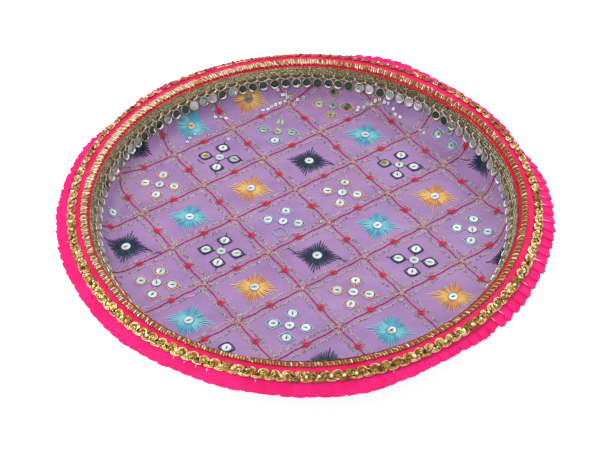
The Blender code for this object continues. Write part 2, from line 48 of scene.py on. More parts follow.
# Profile of the lined tray, as its solids have it
WALL_ANGLE = math.radians(65.0)
CROWN_CENTRE = (160.90, 19.99)
CLOTH_CENTRE = (134.30, 15.10)
CLOTH_CORNER = 12.1
CLOTH_WALL = 13.0
CLOTH_THICKNESS = 0.6
CLOTH_OVER = 11.9
RIBBON_UNDER = 12.25
RIBBON_OVER = 13.0
TRIM_UNDER = 13.3
UP_WALL = (math.cos(WALL_ANGLE), math.sin(WALL_ANGLE))
OUT_OF_WALL = (math.sin(WALL_ANGLE), -math.cos(WALL_ANGLE))
CORNER_LENGTH = CLOTH_CORNER * WALL_ANGLE

# Places across the crown, as angles from straight up, positive outwards
CLOTH_INNER = math.radians(-34.0)
RIBBON_START = math.radians(-35.8)
RIBBON_END = math.radians(19.3)
BRAID_MIDDLE = math.radians(-15.75)
BEAD_MIDDLE = math.radians(27.95)
FRILL_START = math.radians(23.1)
FRILL_ROOT = math.radians(44.2)
FRILL_FOOT = (CROWN_CENTRE[0] + RIBBON_UNDER * math.sin(FRILL_ROOT),
              CROWN_CENTRE[1] + RIBBON_UNDER * math.cos(FRILL_ROOT))

# Laces: how many repeats, and the length of one where it lies
BRAID_COUNT = 258
BRAID_WIDTH = 4.8
BEAD_COUNT = 132
BEAD_PITCH = 8.0
BEAD_LACE_WIDTH = 7.3
LACE_TOP = (153.5, 29.19)
LACE_BAND = 5.2
LACE_LOOP = 2.6
DROP_COUNT = 108
DROP_PITCH = 8.63
DROP_RADIUS = 4.0

# Frill: how far it hangs out, and the thickness of its ribbon
FRILL_LENGTH = 8.3
FRILL_THICKNESS = 0.22
# Where along each pleat the painted fold highlight lies
FOLD_PLACE = 0.985

# Where the frill is longer or shorter: degrees round the platter, width in degrees, millimetres
FRILL_SWELLS = [(352.0, 21.0, 3.0), (19.0, 7.0, -5.4), (137.0, 27.0, -4.4), (146.0, 6.0, -4.6),
                (115.0, 8.0, -1.2), (80.0, 4.0, -1.5), (208.0, 14.0, -1.9),
                (241.0, 11.0, -1.5), (279.0, 10.0, 2.2), (302.0, 8.0, -2.4)]

# How far the hand-laid braid and outer lace lie outwards of their even course, in millimetres at
# every 15 degrees
BRAID_WANDER = [1.2, 0.1, -0.5, -2.1, -1.3, -0.3, 0.0, -0.5, -0.6, -0.4, -0.1, -0.9, 0.0, 0.2,
                -0.4, 0.9, 0.2, 0.0, 1.7, 1.5, 0.2, 0.4, 0.9, 0.5]
LACE_WANDER = [1.0, -1.4, -0.9, -2.2, -1.3, -0.7, -0.4, -0.6, -0.8, -1.1, -1.3, -1.5, -1.0, -1.0,
               -1.2, -0.3, -0.8, -0.7, 0.4, 0.6, -1.3, -0.7, 0.2, 1.4]

# Where the drop mirrors are painted dark, as a painted reflection: degrees round the platter and width in
# degrees
DARK_DROPS = [(95.5, 19.5), (42.6, 2.0), (36.4, 2.0), (131.5, 3.0), (141.0, 3.0), (168.0, 3.0)]

# Looks that the stitches of each row of the woven band take: gold, paler gold, old gold and grey
BAND_ROWS = [(2, 2, 0), (1, 0, 0), (0, 1), (2, 2, 3), (3, 0, 1), (2, 0), (3, 1, 0)]

# Embroidery. The lattice has LATTICE_CELLS cells each way from its corner near the middle, and its
# lines are LINE_REACH long each way before they are cut to the cloth
CELL_SHORT = 43.6
CELL_LONG = 53.9
LATTICE_CELLS = 5
LINE_REACH = 320.0
LATTICE_TURN = math.radians(-55.9)
LATTICE_CORNER = (-5.95, 38.1)
VINE_OFFSET = 4.1
SEQUIN_RADIUS = 3.6
STAR_LONG = 19.0
STAR_SHORT = 17.8
STAR_STITCHES = 40
MOTIF_SHIFT = (1.5, 0.1)
SEQUIN_SPREAD = 8.0

# Limits of the stitches and puffs, as radii measured flat along the cloth, and the width over which
# the puffs fade out
STITCH_LIMIT = 151.4
UNDER_LACE = 156.0
PUFF_END = 150.0
PUFF_FADE = 12.0

# Sequins, as radius and lift from the lower middle to the upper middle. The bands say what each
# strip of a sequin looks like: 0 is its own tint, 1 the stitch hole and 2 the rim
TINY_RING = [(0.0, 0.0), (1.3, 0.0), (1.35, 0.15), (1.15, 0.3), (0.55, 0.22), (0.5, 0.1), (0.0, 0.1)]
SEQUIN = [(0.0, 0.0), (3.4, 0.0), (3.65, 0.12), (3.55, 0.3), (3.2, 0.36), (1.2, 0.3), (0.5, 0.26),
          (0.45, 0.12), (0.0, 0.12)]
SEQUIN_BANDS = [2, 2, 2, 2, 0, 0, 1, 1]

# Motifs in the order in which the cells take them, the threads of the stars, and the painted
# reflections of the sequins of the groups whose sequins aren't all painted white, by cell
KINDS = ["turquoise_star", "navy_mirrors", "orange_star", "sky_mirrors", "navy_star",
         "orange_mirrors"]
# Of each star's tints, those picked towards the long points are painted sheen; the third goes only there
STAR_TINTS = {
    "turquoise_star": ["turquoise_thread", "deep_turquoise_thread", "turquoise_sheen_thread"],
    "orange_star": ["amber_thread", "orange_thread", "yellow_sheen_thread"],
    "navy_star": ["bottle_green_thread", "navy_thread", "navy_thread"],
}
SEQUIN_REFLECTIONS = {(-2, -1): "gwbww", (-2, 0): "gbgwb", (-2, 1): "ddgbg", (0, -1): "wwwlw",
                (0, 1): "wwbww", (0, 2): "ggggg"}

# Runs of tiny ring sequins on the cloth, set where they glint: flat start, flat end and how many
RING_RUNS = [((-13.0, 141.5), (-30.0, 131.5), 6), ((-19.0, 150.0), (-12.0, 144.0), 4),
             ((-6.5, 138.5), (1.0, 146.0), 3), ((43.5, 131.0), (60.0, 137.0), 6),
             ((64.0, 138.0), (74.0, 128.0), 4), ((76.0, 122.0), (78.0, 120.0), 2),
             ((93.0, 103.5), (97.0, 99.5), 2), ((-58.0, 97.0), (-55.0, 94.0), 1),
             ((-91.0, 94.5), (-84.5, 103.0), 3), ((-69.5, 123.0), (-60.5, 123.5), 3)]

# Loose ends of thread on the floor, as places along each
LOOSE_THREADS = [
    [(-118.2, -19.3), (-114.4, -21.9), (-111.4, -23.5), (-109.0, -26.5), (-106.1, -26.8),
     (-103.3, -25.7)],
    [(23.5, -31.8), (25.6, -34.4), (28.1, -37.4), (30.8, -37.4)],
    [(-5.2, -29.5), (-9.1, -25.9), (-11.9, -24.2)],
    [(18.8, 70.5), (21.9, 68.0), (25.3, 64.3)],
    [(62.4, 62.6), (60.3, 66.9), (58.9, 71.6), (57.3, 75.1)],
    [(130.1, 65.0), (126.2, 66.2), (121.8, 69.3)],
    [(90.2, 64.9), (93.1, 59.9), (96.3, 57.8)],
    [(-76.1, 69.4), (-78.8, 71.2), (-81.3, 74.5)],
]

# Camera, fitted to the rim and the lattice in the photograph
CAMERA_DISTANCE = 1.004976
CAMERA_ELEVATION = 0.7712559
CAMERA_ROLL = -0.0146668
CAMERA_TARGET = (-0.002717, 0.000234, 0.003)
CAMERA_LENS = 82.067

rng = random.Random(7)


def unit(vectors):
    return vectors / np.maximum(np.linalg.norm(vectors, axis=-1, keepdims=True), 1e-9)


def blend(low, high, share):
    return low + (high - low) * share


def coords(u, v, lift):
    """Three coordinates side by side, each spread to the shape of the others."""
    return np.stack(np.broadcast_arrays(u, v, lift), axis=-1)


def jitter(entries, low, high):
    """A column with one random value for each entry."""
    return np.array([[rng.uniform(low, high)] for entry in entries])


def chances(entries):
    """One random value from 0 to 1 for each entry."""
    return np.array([rng.random() for entry in entries])


def strips(here, there):
    """Faces between two sets of rings of points."""
    return np.stack([here, np.roll(here, -1, 2), np.roll(there, -1, 2), there], -1)


# Where things go


def round_platter(turn, radius, height):
    """Points from an angle round the platter, a radius and a height."""
    return coords(radius * np.cos(turn), radius * np.sin(turn), height)


def over_crown(turn, angle, radius):
    """Points over the rim, from an angle from straight up and a radius about the crown's centre."""
    out = CROWN_CENTRE[0] + radius * np.sin(angle)
    return round_platter(turn, out, CROWN_CENTRE[1] + radius * np.cos(angle))


def on_rim(turn, across, lift):
    """Points on the rim's trim, with across in millimetres outwards from the crown's top."""
    return over_crown(turn, across / TRIM_UNDER, TRIM_UNDER + lift)


def wander(places, turn):
    """The table's value at each turn, rounded off between its entries."""
    degrees, entries = np.degrees(turn), np.linspace(0.0, 360.0, len(places), endpoint=False)
    around = [np.interp(degrees + more, entries, places, period=360.0) for more in (-6.0, 0.0, 6.0)]
    return sum(around) / 3.0


def bump_at(turn, degrees, width):
    """A smooth swell from 0 to 1, at one place round the platter."""
    away = np.abs(turn - math.radians(degrees))
    away = np.minimum(away, TURN - away)
    return np.exp(-((away / math.radians(width)) ** 2))


def on_wall(turn, down, lift):
    """Points on the inside of the wall, with down in millimetres below the mirror lace's top."""
    radius = LACE_TOP[0] - down * UP_WALL[0] - lift * OUT_OF_WALL[0]
    return round_platter(turn, radius, LACE_TOP[1] - down * UP_WALL[1] - lift * OUT_OF_WALL[1])


def pillow(x, y):
    """How far the cloth puffs up between the rows of stitches."""
    cosine, sine = math.cos(LATTICE_TURN), math.sin(LATTICE_TURN)
    u, v = x - LATTICE_CORNER[0], y - LATTICE_CORNER[1]
    a = (u * cosine + v * sine) / CELL_SHORT
    b = (v * cosine - u * sine) / CELL_LONG
    puff = np.abs(np.sin(math.pi * a) * np.sin(math.pi * b))
    ripple = np.sin(x * 0.21 + 1.3 * np.sin(y * 0.09)) * np.sin(y * 0.17 + x * 0.05)
    return 0.32 * puff + 0.10 * ripple


def on_cloth(x, y, lift):
    """Points lifted off the cloth, from coordinates measured flat along it."""
    flat = np.hypot(x, y)
    along = np.maximum(flat - CLOTH_CENTRE[0], 0.0)
    angle = np.minimum(along / CLOTH_CORNER, WALL_ANGLE)
    beyond = np.maximum(along - CORNER_LENGTH, 0.0)
    flatter = np.clip((PUFF_END - flat) / PUFF_FADE, 0.0, 1.0)
    raised = lift + pillow(x, y) * flatter
    curled = CLOTH_CORNER - raised
    radius = np.where(along > 0.0, CLOTH_CENTRE[0] + curled * np.sin(angle), flat)
    radius = radius + beyond * UP_WALL[0]
    height = CLOTH_CENTRE[1] - curled * np.cos(angle) + beyond * UP_WALL[1]
    share = radius / np.maximum(flat, 1e-6)
    return coords(x * share, y * share, height)


def flat_point(across, along):
    """Flat coordinates on the cloth, from distances along the lattice's short and long sides."""
    cosine, sine = math.cos(LATTICE_TURN), math.sin(LATTICE_TURN)
    x = LATTICE_CORNER[0] + across * cosine - along * sine
    return (x, LATTICE_CORNER[1] + across * sine + along * cosine)


def on_lattice(across, along, lift):
    return on_cloth(*flat_point(across, along), lift)


def flat_distance(across, along):
    return np.hypot(*flat_point(across, along))


class Shape:
    """Points in millimetres and faces, each with a material slot, gathered into one piece."""

    def __init__(self):
        self.points = []
        self.blocks = []
        self.count = 0

    def add(self, points, faces, slots=0):
        """faces is an array with one face in each row, counted from the first of these points."""
        faces = np.asarray(faces)
        self.points.append(np.asarray(points, float).reshape(-1, 3))
        self.blocks.append((faces + self.count, np.broadcast_to(slots, len(faces))))
        self.count += len(self.points[-1])

    def grid(self, points, around=False, slots=0):
        """Skin over a grid of rows and columns, which joins the last column to the first. around
        joins the last row to the first too."""
        rows, columns = points.shape[:2]
        left = np.arange(rows * columns).reshape(rows, columns)
        right = np.roll(left, -1, 1)
        below_left, below_right = np.roll(left, -1, 0), np.roll(right, -1, 0)
        stop = rows if around else rows - 1
        faces = np.stack([left, right, below_right, below_left], -1)[:stop]
        self.add(points, faces.reshape(-1, 4), slots)

    def tubes(self, place, paths, width, height, sides, closed=False, slots=0):
        """Sweeps an oval along each path of place() coordinates. width and height are halves, and
        may change along the path."""
        paths = np.asarray(paths, float)
        if paths.ndim == 2:
            paths = paths[None]
        many, steps = paths.shape[:2]
        width = np.broadcast_to(width, (many, steps))[..., None, None]
        height = np.broadcast_to(height, (many, steps))[..., None, None]
        u, v, lift = paths[..., 0], paths[..., 1], paths[..., 2]
        centre = place(u, v, lift)
        if closed:
            ahead = np.roll(centre, -1, 1) - np.roll(centre, 1, 1)
        else:
            ahead = np.gradient(centre, axis=1)
        ahead = unit(ahead)
        normal = unit(place(u, v, lift + 0.3) - centre)
        side = unit(np.cross(ahead, normal))
        normal = np.cross(side, ahead)
        turn = TURN * np.arange(sides) / sides
        ring = width * np.cos(turn)[:, None] * side[:, :, None, :]
        ring = centre[:, :, None, :] + ring + height * np.sin(turn)[:, None] * normal[:, :, None, :]
        index = np.arange(many * steps * sides).reshape(many, steps, sides)
        stop = steps if closed else steps - 1
        faces = strips(index, np.roll(index, -1, 1))[:, :stop]
        slots = np.broadcast_to(slots, many)
        self.add(ring, faces.reshape(-1, 4), np.repeat(slots, stop * sides))
        if not closed:
            caps = np.concatenate([index[:, 0, ::-1], index[:, -1]])
            self.blocks.append((caps + self.count - index.size, np.tile(slots, 2)))

    def discs(self, place, centres, profile, sides, squeeze=1.0, tilt=None, slots=0, bands=None):
        """Turned bodies standing on a surface. profile is a list of radius and lift, from the lower
        middle to the upper middle, and bands adds to the slot of each of its strips."""
        centres = np.asarray(centres, float)
        many = len(centres)
        turn = TURN * np.arange(sides) / sides
        radius, lift = np.asarray(profile, float).T
        u = centres[:, 0, None, None] + radius[:, None] * np.cos(turn) * squeeze
        v = centres[:, 1, None, None] + radius[:, None] * np.sin(turn)
        raised = centres[:, 2, None, None] + lift[:, None]
        if tilt is not None:
            slope = np.asarray(tilt, float)
            raised = raised + (u - centres[:, 0, None, None]) / squeeze * slope[:, 0, None, None]
            raised = raised + (v - centres[:, 1, None, None]) * slope[:, 1, None, None]
        points = place(u, v, raised)
        rings = len(profile)
        index = np.arange(many * rings * sides).reshape(many, rings, sides)
        faces = strips(index[:, :-1], index[:, 1:])
        bands = np.zeros(rings - 1, int) if bands is None else np.asarray(bands)
        slots = np.broadcast_to(slots, many)[:, None] + bands
        self.add(points, faces.reshape(-1, 4), np.repeat(slots.ravel(), sides))

    def finish(self, name, tints, slot, smooth=40.0, node=None):
        """Makes the object, riding on the platter's one body. tints are the names of its looks."""
        faces = [face for block, slots in self.blocks for face in block.tolist()]
        mesh = bpy.data.meshes.new(name)
        mesh.from_pydata(np.concatenate(self.points) * MM, [], faces)
        mesh.polygons.foreach_set("material_index", np.concatenate([slots for block, slots in self.blocks]))
        for tint in tints:
            mesh.materials.append(looks[tint])
        mesh.validate()
        weld(mesh)
        if smooth:
            mesh.shade_smooth()
            mesh.set_sharp_from_angle(angle=math.radians(smooth))
        piece = new_object(name, mesh)
        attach(piece, "root")
        if node:
            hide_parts(node)
        return piece


def new_object(name, data):
    made = bpy.data.objects.new(name, data)
    bpy.context.scene.collection.objects.link(made)
    return made


def weld(mesh):
    """Joins the points that meet at the middles of discs, and turns the faces outwards."""
    bm = bmesh.new()
    bm.from_mesh(mesh)
    bmesh.ops.remove_doubles(bm, verts=bm.verts, dist=1e-7)
    bmesh.ops.dissolve_degenerate(bm, edges=bm.edges, dist=1e-8)
    bmesh.ops.recalc_face_normals(bm, faces=bm.faces)
    bm.to_mesh(mesh)
    bm.free()


# Materials


class Look:
    """A Principled material with a few nodes to drive it."""

    def __init__(self, name, roughness, metallic=0.0, **inputs):
        self.material = bpy.data.materials.new(name)
        self.material.use_nodes = True
        self.tree = self.material.node_tree
        self.shader = self.tree.nodes["Principled BSDF"]
        for key, value in {"Roughness": roughness, "Metallic": metallic, **inputs}.items():
            self.shader.inputs[key.replace("_", " ")].default_value = value
        self.coordinates = self.tree.nodes.new("ShaderNodeTexCoord").outputs["Object"]

    def link(self, output, node_input):
        self.tree.links.new(output, node_input)

    def node(self, kind, **inputs):
        """A new node, with its inputs set to values or linked to outputs."""
        node = self.tree.nodes.new(f"ShaderNode{kind}")
        for key, value in inputs.items():
            node_input = node.inputs[key.replace("_", " ")]
            if isinstance(value, bpy.types.NodeSocket):
                self.link(value, node_input)
            else:
                node_input.default_value = value
        return node

    def noise(self, scale, detail=3.0, stretch=(1.0, 1.0, 1.0)):
        place = self.node("Mapping", Vector=self.coordinates, Scale=stretch).outputs["Vector"]
        return self.node("TexNoise", Vector=place, Scale=scale, Detail=detail).outputs["Fac"]

    def wave(self, scale, direction, distortion, turned):
        mapping = self.node("Mapping", Vector=self.coordinates, Rotation=(0.0, 0.0, turned))
        place = mapping.outputs["Vector"]
        texture = self.node("TexWave", Vector=place, Scale=scale, Distortion=distortion)
        texture.bands_direction = direction
        return texture.outputs["Fac"]

    def ramp(self, factor, *stops):
        """Colours at places from 0 to 1, as (place, colour) with colours of 0 to 255."""
        node = self.node("ValToRGB", Fac=factor)
        elements = node.color_ramp.elements
        while len(elements) < len(stops):
            elements.new(0.5)
        for element, (place, colour) in zip(elements, stops):
            element.position = place
            element.color = (*paint(colour), 1.0)
        return node.outputs["Color"]

    def multiply(self, share, one, two):
        node = self.node("Mix")
        node.data_type = "RGBA"
        node.blend_type = "MULTIPLY"
        node.inputs["Factor"].default_value = share
        self.link(one, node.inputs["A"])
        self.link(two, node.inputs["B"])
        return node.outputs["Result"]

    def colour(self, output):
        self.link(output, self.shader.inputs["Base Color"])

    def rough(self, factor, low, high):
        node = self.node("MapRange", Value=factor, To_Min=low, To_Max=high)
        self.link(node.outputs["Result"], self.shader.inputs["Roughness"])

    def bump(self, height, strength, distance):
        node = self.node("Bump", Height=height, Strength=strength, Distance=distance * MM)
        normal = self.shader.inputs["Normal"]
        if normal.is_linked:
            self.link(normal.links[0].from_socket, node.inputs["Normal"])
        self.link(node.outputs["Normal"], normal)


def paint(colour):
    """A colour of 0 to 255 as the renderer's linear values."""
    shares = [value / 255.0 for value in colour]
    return [s / 12.92 if s <= 0.04045 else ((s + 0.055) / 1.055) ** 2.4 for s in shares]


def make_thread(name, dark, light, roughness, grain=1600.0):
    """Spun thread: two tints in fine streaks, and a fuzzy bump."""
    look = Look(name, roughness, Specular_IOR_Level=0.3)
    fine = look.noise(grain, 2.0)
    look.colour(look.ramp(fine, (0.3, dark), (0.7, light)))
    look.bump(fine, 0.5, 0.12)
    return look.material


def make_cloth_look():
    """Satin with a broad sheen, fine flecks and a weave along the lattice."""
    look = Look("lilac_satin", 0.5, Specular_IOR_Level=0.25, Sheen_Weight=0.1)
    broad = look.noise(22.0, 4.0, (1.0, 2.2, 1.0))
    tint = look.ramp(broad, (0.3, (139, 106, 156)), (0.5, (149, 116, 164)), (0.72, (158, 126, 172)))
    fleck = look.ramp(look.noise(420.0, 3.0), (0.35, (226, 214, 226)), (0.65, (255, 255, 255)))
    look.colour(look.multiply(0.25, tint, fleck))
    look.rough(broad, 0.4, 0.62)
    warp = look.wave(900.0, "X", 0.8, LATTICE_TURN)
    weft = look.wave(900.0, "Y", 0.8, LATTICE_TURN)
    look.bump(warp, 0.12, 0.06)
    look.bump(weft, 0.12, 0.06)
    return look.material


def make_pink_look(name, low, middle, high, ribs):
    """Ribbed ribbon in three near tints."""
    look = Look(name, 0.6, Specular_IOR_Level=0.08)
    broad = look.noise(60.0, 4.0)
    look.colour(look.ramp(broad, (0.3, low), (0.5, middle), (0.7, high)))
    look.bump(look.noise(ribs, 2.0), 0.35, 0.12)
    look.bump(look.noise(160.0, 2.0), 0.25, 0.3)
    return look.material


def make_metal(name, dark, light, roughness, grain=500.0):
    """Metal or metallic yarn: two tints, uneven gloss and fine dents."""
    look = Look(name, roughness, 0.9)
    fine = look.noise(grain, 3.0)
    look.colour(look.ramp(fine, (0.35, dark), (0.65, light)))
    look.rough(look.noise(grain * 0.6, 2.0), roughness * 0.7, roughness * 1.5)
    look.bump(fine, 0.35, 0.1)
    return look.material


def make_glassy(name, dark, light, roughness, metallic=0.0):
    """Smooth glass or foil: two tints in broad patches, with faint waves."""
    look = Look(name, roughness, metallic)
    broad = look.noise(150.0, 2.0)
    look.colour(look.ramp(broad, (0.35, dark), (0.65, light)))
    look.rough(look.noise(700.0, 2.0), roughness * 0.6, roughness * 1.8)
    look.bump(look.noise(240.0, 1.0), 0.08, 0.3)
    return look.material


# Pink looks: three tints and the fineness of the ribs
PINKS = {
    # The darker red edge below is painted shade, for the ribbon inside the braid
    "shaded_ribbon_edge": ((184, 12, 44), (200, 16, 56), (214, 22, 66), 1100.0),
    "pink_ribbon": ((204, 26, 70), (215, 32, 87), (224, 40, 101), 1100.0),
    "pink_frill": ((220, 28, 102), (228, 32, 114), (234, 40, 124), 900.0),
    "deep_pink_frill": ((215, 26, 96), (224, 30, 108), (231, 37, 119), 900.0),
    # The pale pink below is a painted highlight on the pleats' folds
    "fold_highlight_pink": ((232, 110, 166), (242, 156, 196), (250, 204, 224), 900.0),
}

# Metals: dark and light tint, roughness and, where it isn't the usual one, fineness
METALS = {
    # The cream gold below is the braid's painted highlight; dark gold further down is its painted shade
    "cream_highlight_gold": ((196, 164, 116), (255, 246, 218), 0.42),
    "bright_gold": ((162, 124, 60), (234, 200, 124), 0.34),
    "light_gold": ((206, 170, 100), (255, 240, 188), 0.34),
    "tan_gold": ((164, 118, 78), (220, 176, 130), 0.55),
    "rosy_gold": ((140, 58, 52), (170, 84, 68), 0.5),
    "shaded_dark_gold": ((126, 82, 52), (174, 124, 82), 0.6),
    "brown_gold": ((128, 88, 40), (180, 134, 70), 0.5),
    "old_gold": ((86, 74, 46), (140, 124, 82), 0.5),
    "woven_zari": ((114, 104, 78), (182, 170, 132), 0.45, 900.0),
    "pale_zari": ((140, 130, 94), (208, 198, 152), 0.42, 900.0),
    "old_zari": ((84, 72, 46), (146, 130, 88), 0.5, 900.0),
    "pale_gold": ((168, 154, 102), (236, 228, 180), 0.36),
    "silver_wire": ((196, 192, 180), (250, 248, 240), 0.2),
    "tinned_steel": ((164, 164, 166), (186, 186, 188), 0.32, 60.0),
}

# Threads, likewise
THREADS = {
    "red_thread": ((138, 6, 38), (196, 28, 76), 0.5, 420.0),
    "crimson_thread": ((176, 8, 36), (216, 26, 58), 0.5),
    "navy_thread": ((10, 19, 44), (30, 44, 76), 0.6),
    "bottle_green_thread": ((8, 46, 56), (28, 80, 84), 0.6),
    "turquoise_thread": ((68, 150, 176), (100, 182, 200), 0.5),
    "deep_turquoise_thread": ((58, 134, 166), (84, 160, 184), 0.5),
    # The paler turquoise and the yellow thread below are painted sheen on the stars
    "turquoise_sheen_thread": ((92, 170, 188), (132, 200, 210), 0.5),
    "orange_thread": ((176, 114, 66), (198, 138, 82), 0.5),
    "amber_thread": ((190, 136, 74), (210, 158, 90), 0.5),
    "yellow_sheen_thread": ((206, 162, 86), (226, 186, 108), 0.5),
    "tan_thread": ((204, 144, 100), (232, 184, 138), 0.5),
    "sky_thread": ((124, 160, 192), (164, 198, 216), 0.5),
    "vine_gold": ((156, 134, 106), (222, 204, 172), 0.4),
    "vine_grey": ((164, 154, 148), (232, 226, 214), 0.4),
    "vine_brown": ((92, 74, 64), (142, 118, 100), 0.5),
    "sequin_rim": ((84, 92, 104), (140, 148, 156), 0.4),
    # The dark brown below is painted shade, in the outer lace's hollows and under its studs
    "shade_brown": ((26, 16, 12), (58, 38, 24), 0.7),
    "stitch_hole": ((48, 50, 60), (96, 98, 106), 0.7),
    "hardboard": ((86, 58, 36), (128, 92, 60), 0.8, 420.0),
}

# Glass and foil: dark and light tint, roughness and, where it has any, metal
GLASSES = {
    # The near-white stud look below is a painted glint, the next one's dark a painted reflection
    "glint_stud": ((228, 212, 168), (255, 250, 234), 0.15, 0.3),
    "dark_reflection_stud": ((24, 12, 8), (90, 50, 26), 0.08, 0.4),
    "pearl_sequin": ((172, 182, 186), (210, 218, 222), 0.3),
    # The grey, beige and dark sequin looks below are painted reflections
    "grey_reflection_sequin": ((116, 134, 128), (182, 196, 188), 0.12, 0.35),
    "beige_reflection_sequin": ((146, 132, 104), (206, 196, 164), 0.14, 0.35),
    "dark_reflection_sequin": ((40, 38, 40), (150, 140, 122), 0.12, 0.3),
    # The dark, grey and lilac mirror looks below are painted reflections
    "dark_reflection_mirror": ((14, 26, 24), (46, 58, 56), 0.05),
    "grey_reflection_mirror": ((116, 130, 128), (162, 174, 170), 0.08, 0.5),
    "pale_reflection_mirror": ((152, 140, 162), (208, 202, 214), 0.08, 0.5),
    # The near-white look below is a painted glint
    "glint_white": ((226, 230, 230), (252, 252, 252), 0.3),
}

looks = {"lilac_satin": make_cloth_look()}
for make, table in ((make_pink_look, PINKS), (make_metal, METALS), (make_thread, THREADS),
                    (make_glassy, GLASSES)):
    looks.update({name: make(name, *values) for name, values in table.items()})


# Cloth, ribbon and frill


def make_cloth():
    """Lining from the middle of the floor up the wall and over the rim, and back underneath."""
    columns = 360
    wall_foot = CLOTH_CENTRE[0] + CORNER_LENGTH
    beyond = np.arange(CLOTH_CENTRE[0], wall_foot + CLOTH_WALL, 1.4)
    flat = np.concatenate([np.arange(0.6, 134.0, 2.3), beyond])
    turn = TURN * np.arange(columns) / columns
    x, y = flat[:, None] * np.cos(turn), flat[:, None] * np.sin(turn)
    over = on_cloth(x, y, 0.0)
    under = on_cloth(x, y, -CLOTH_THICKNESS)
    angles = np.linspace(CLOTH_INNER, FRILL_ROOT, 9)[:, None]
    rim_over = over_crown(turn, angles, CLOTH_OVER)
    rim_under = over_crown(turn, angles, CLOTH_OVER - CLOTH_THICKNESS)
    top_middle = np.broadcast_to(on_cloth(np.zeros(1), np.zeros(1), 0.0), (1, columns, 3))
    low_middle = top_middle - np.array([0.0, 0.0, CLOTH_THICKNESS])
    rows = [top_middle, over, rim_over, rim_under[::-1], under[::-1], low_middle]
    shape = Shape()
    shape.grid(np.concatenate(rows))
    piece = shape.finish("lining_cloth", ["lilac_satin"], "lilac_cloth", node="embroidered_cloth")


def make_ribbon():
    """Ribbon laid over the crown, gathered a little in step with the outer lace, its inner edge
    following the braid's wander; the strip inside the braid is painted a darker red as painted shade."""
    columns = 4 * BEAD_COUNT
    turn = TURN * np.arange(columns) / columns
    even = np.linspace(RIBBON_START, RIBBON_END, 15)[:, None]
    inwards = np.clip((BRAID_MIDDLE - even) / (BRAID_MIDDLE - RIBBON_START) + 1.0, 0.0, 1.0)
    shift = wander(BRAID_WANDER, turn) + 0.5 * bump_at(turn, 255.0, 52.0)
    angles = even + inwards * shift / RIBBON_OVER
    gather = 0.10 * np.sin(turn * BEAD_COUNT) * np.cos(angles * 9.0)
    gather = gather + 0.06 * np.sin(turn * 61.0 + 2.0 * np.sin(turn * 13.0))
    over = over_crown(turn, angles, RIBBON_OVER + gather - 0.05)
    under = over_crown(turn, angles, RIBBON_UNDER)
    shape = Shape()
    # The rows inside the braid take the darker red: painted shade
    inner = np.repeat(np.concatenate([even, even[::-1]]) < BRAID_MIDDLE, columns)
    shape.grid(np.concatenate([over, under[::-1]]), around=True, slots=inner.astype(int))
    tints = ["pink_ribbon", "shaded_ribbon_edge"]
    piece = shape.finish("rim_ribbon_satin", tints, "pink_ribbon", node="rim_ribbon")


def frill_fall(turn):
    """Length and slope of the frill, which stands up at two places of the back and droops between
    them, and is gathered longer or shorter here and there."""
    back = bump_at(turn, 123.0, 43.0) + 0.5 * bump_at(turn, 35.0, 20.0)
    length = FRILL_LENGTH - 1.2 * back + 1.2 * bump_at(turn, 223.0, 40.0)
    for degrees, width, more in FRILL_SWELLS:
        length = length + more * bump_at(turn, degrees, width)
    slope = 21.0 + 16.0 * back - 29.0 * bump_at(turn, 67.0, 10.0) - 46.0 * bump_at(turn, 137.0, 27.0)
    return length, np.radians(slope)


def off_rim(turn, out, slope, lift):
    """Points on the frill, from how far out they lie along its slope and a lift off it."""
    radius = FRILL_FOOT[0] + out * np.cos(slope) + lift * np.sin(slope)
    return round_platter(turn, radius, FRILL_FOOT[1] - out * np.sin(slope) + lift)


def make_frill():
    """Pleated ribbon: each pleat lies over the next, and its cut edge is stepped and frayed."""
    across = np.array([0.0, 0.1, 0.22, 0.36, 0.5, 0.64, 0.78, 0.9, 0.965])
    turn = ((np.arange(BEAD_COUNT)[:, None] + across) / BEAD_COUNT * TURN).ravel()
    share = np.tile(across, BEAD_COUNT)
    fold = np.cos(math.pi * (share / across[-1]))
    uneven = np.array([rng.uniform(-1.0, 1.0) for pleat in range(BEAD_COUNT)])
    skew = np.array([rng.uniform(0.2, 1.0) for pleat in range(BEAD_COUNT)])
    length, slope = frill_fall(turn)
    right = bump_at(turn, 328.0, 34.0)
    left_back = bump_at(turn, 155.0, 45.0) + bump_at(turn, 65.0, 25.0)
    fray = np.array([rng.uniform(-1.0, 1.0) for point in turn])
    length = length + (0.15 + 0.4 * right + 0.75 * left_back) * fray
    length = length + (0.35 + 0.5 * right + 0.4 * left_back) * np.repeat(uneven, len(across))
    length = length + (0.9 + 1.2 * right) * np.repeat(skew, len(across)) * (0.5 - share)
    length = length + (0.45 + 1.5 * bump_at(turn, 60.0, 24.0)) * np.sin(math.pi * share)
    angles = np.linspace(FRILL_START, FRILL_ROOT, 5)
    rows_over, rows_under = [], []
    for angle in angles:
        lift = 0.28 + 0.12 * fold
        rows_over.append(over_crown(turn, angle, RIBBON_UNDER + lift))
        rows_under.append(over_crown(turn, angle, RIBBON_UNDER + lift - FRILL_THICKNESS))
    for step in (0.12, 0.27, 0.43, 0.6, 0.78, 0.92, 1.0):
        bend = 0.6 * np.sin(math.pi * step) * np.sin(turn * 17.0 + 1.0)
        lift = 0.3 + (0.14 + (0.14 + 0.5 * right) * step) * fold + 0.25 * step * bend
        rows_over.append(off_rim(turn, length * step, slope, lift))
        rows_under.append(off_rim(turn, length * step, slope, lift - FRILL_THICKNESS))
    shape = Shape()
    rows = rows_over + rows_under[::-1]
    tints = np.repeat([int(rng.random() < 0.4) for pleat in range(BEAD_COUNT)], len(across))
    shape.grid(np.stack(rows), around=True, slots=np.tile(tints, len(rows)))
    piece = shape.finish("pink_frill_pleats", ["pink_frill", "deep_pink_frill"], "pink_frill",
                         50.0, "pink_frill")


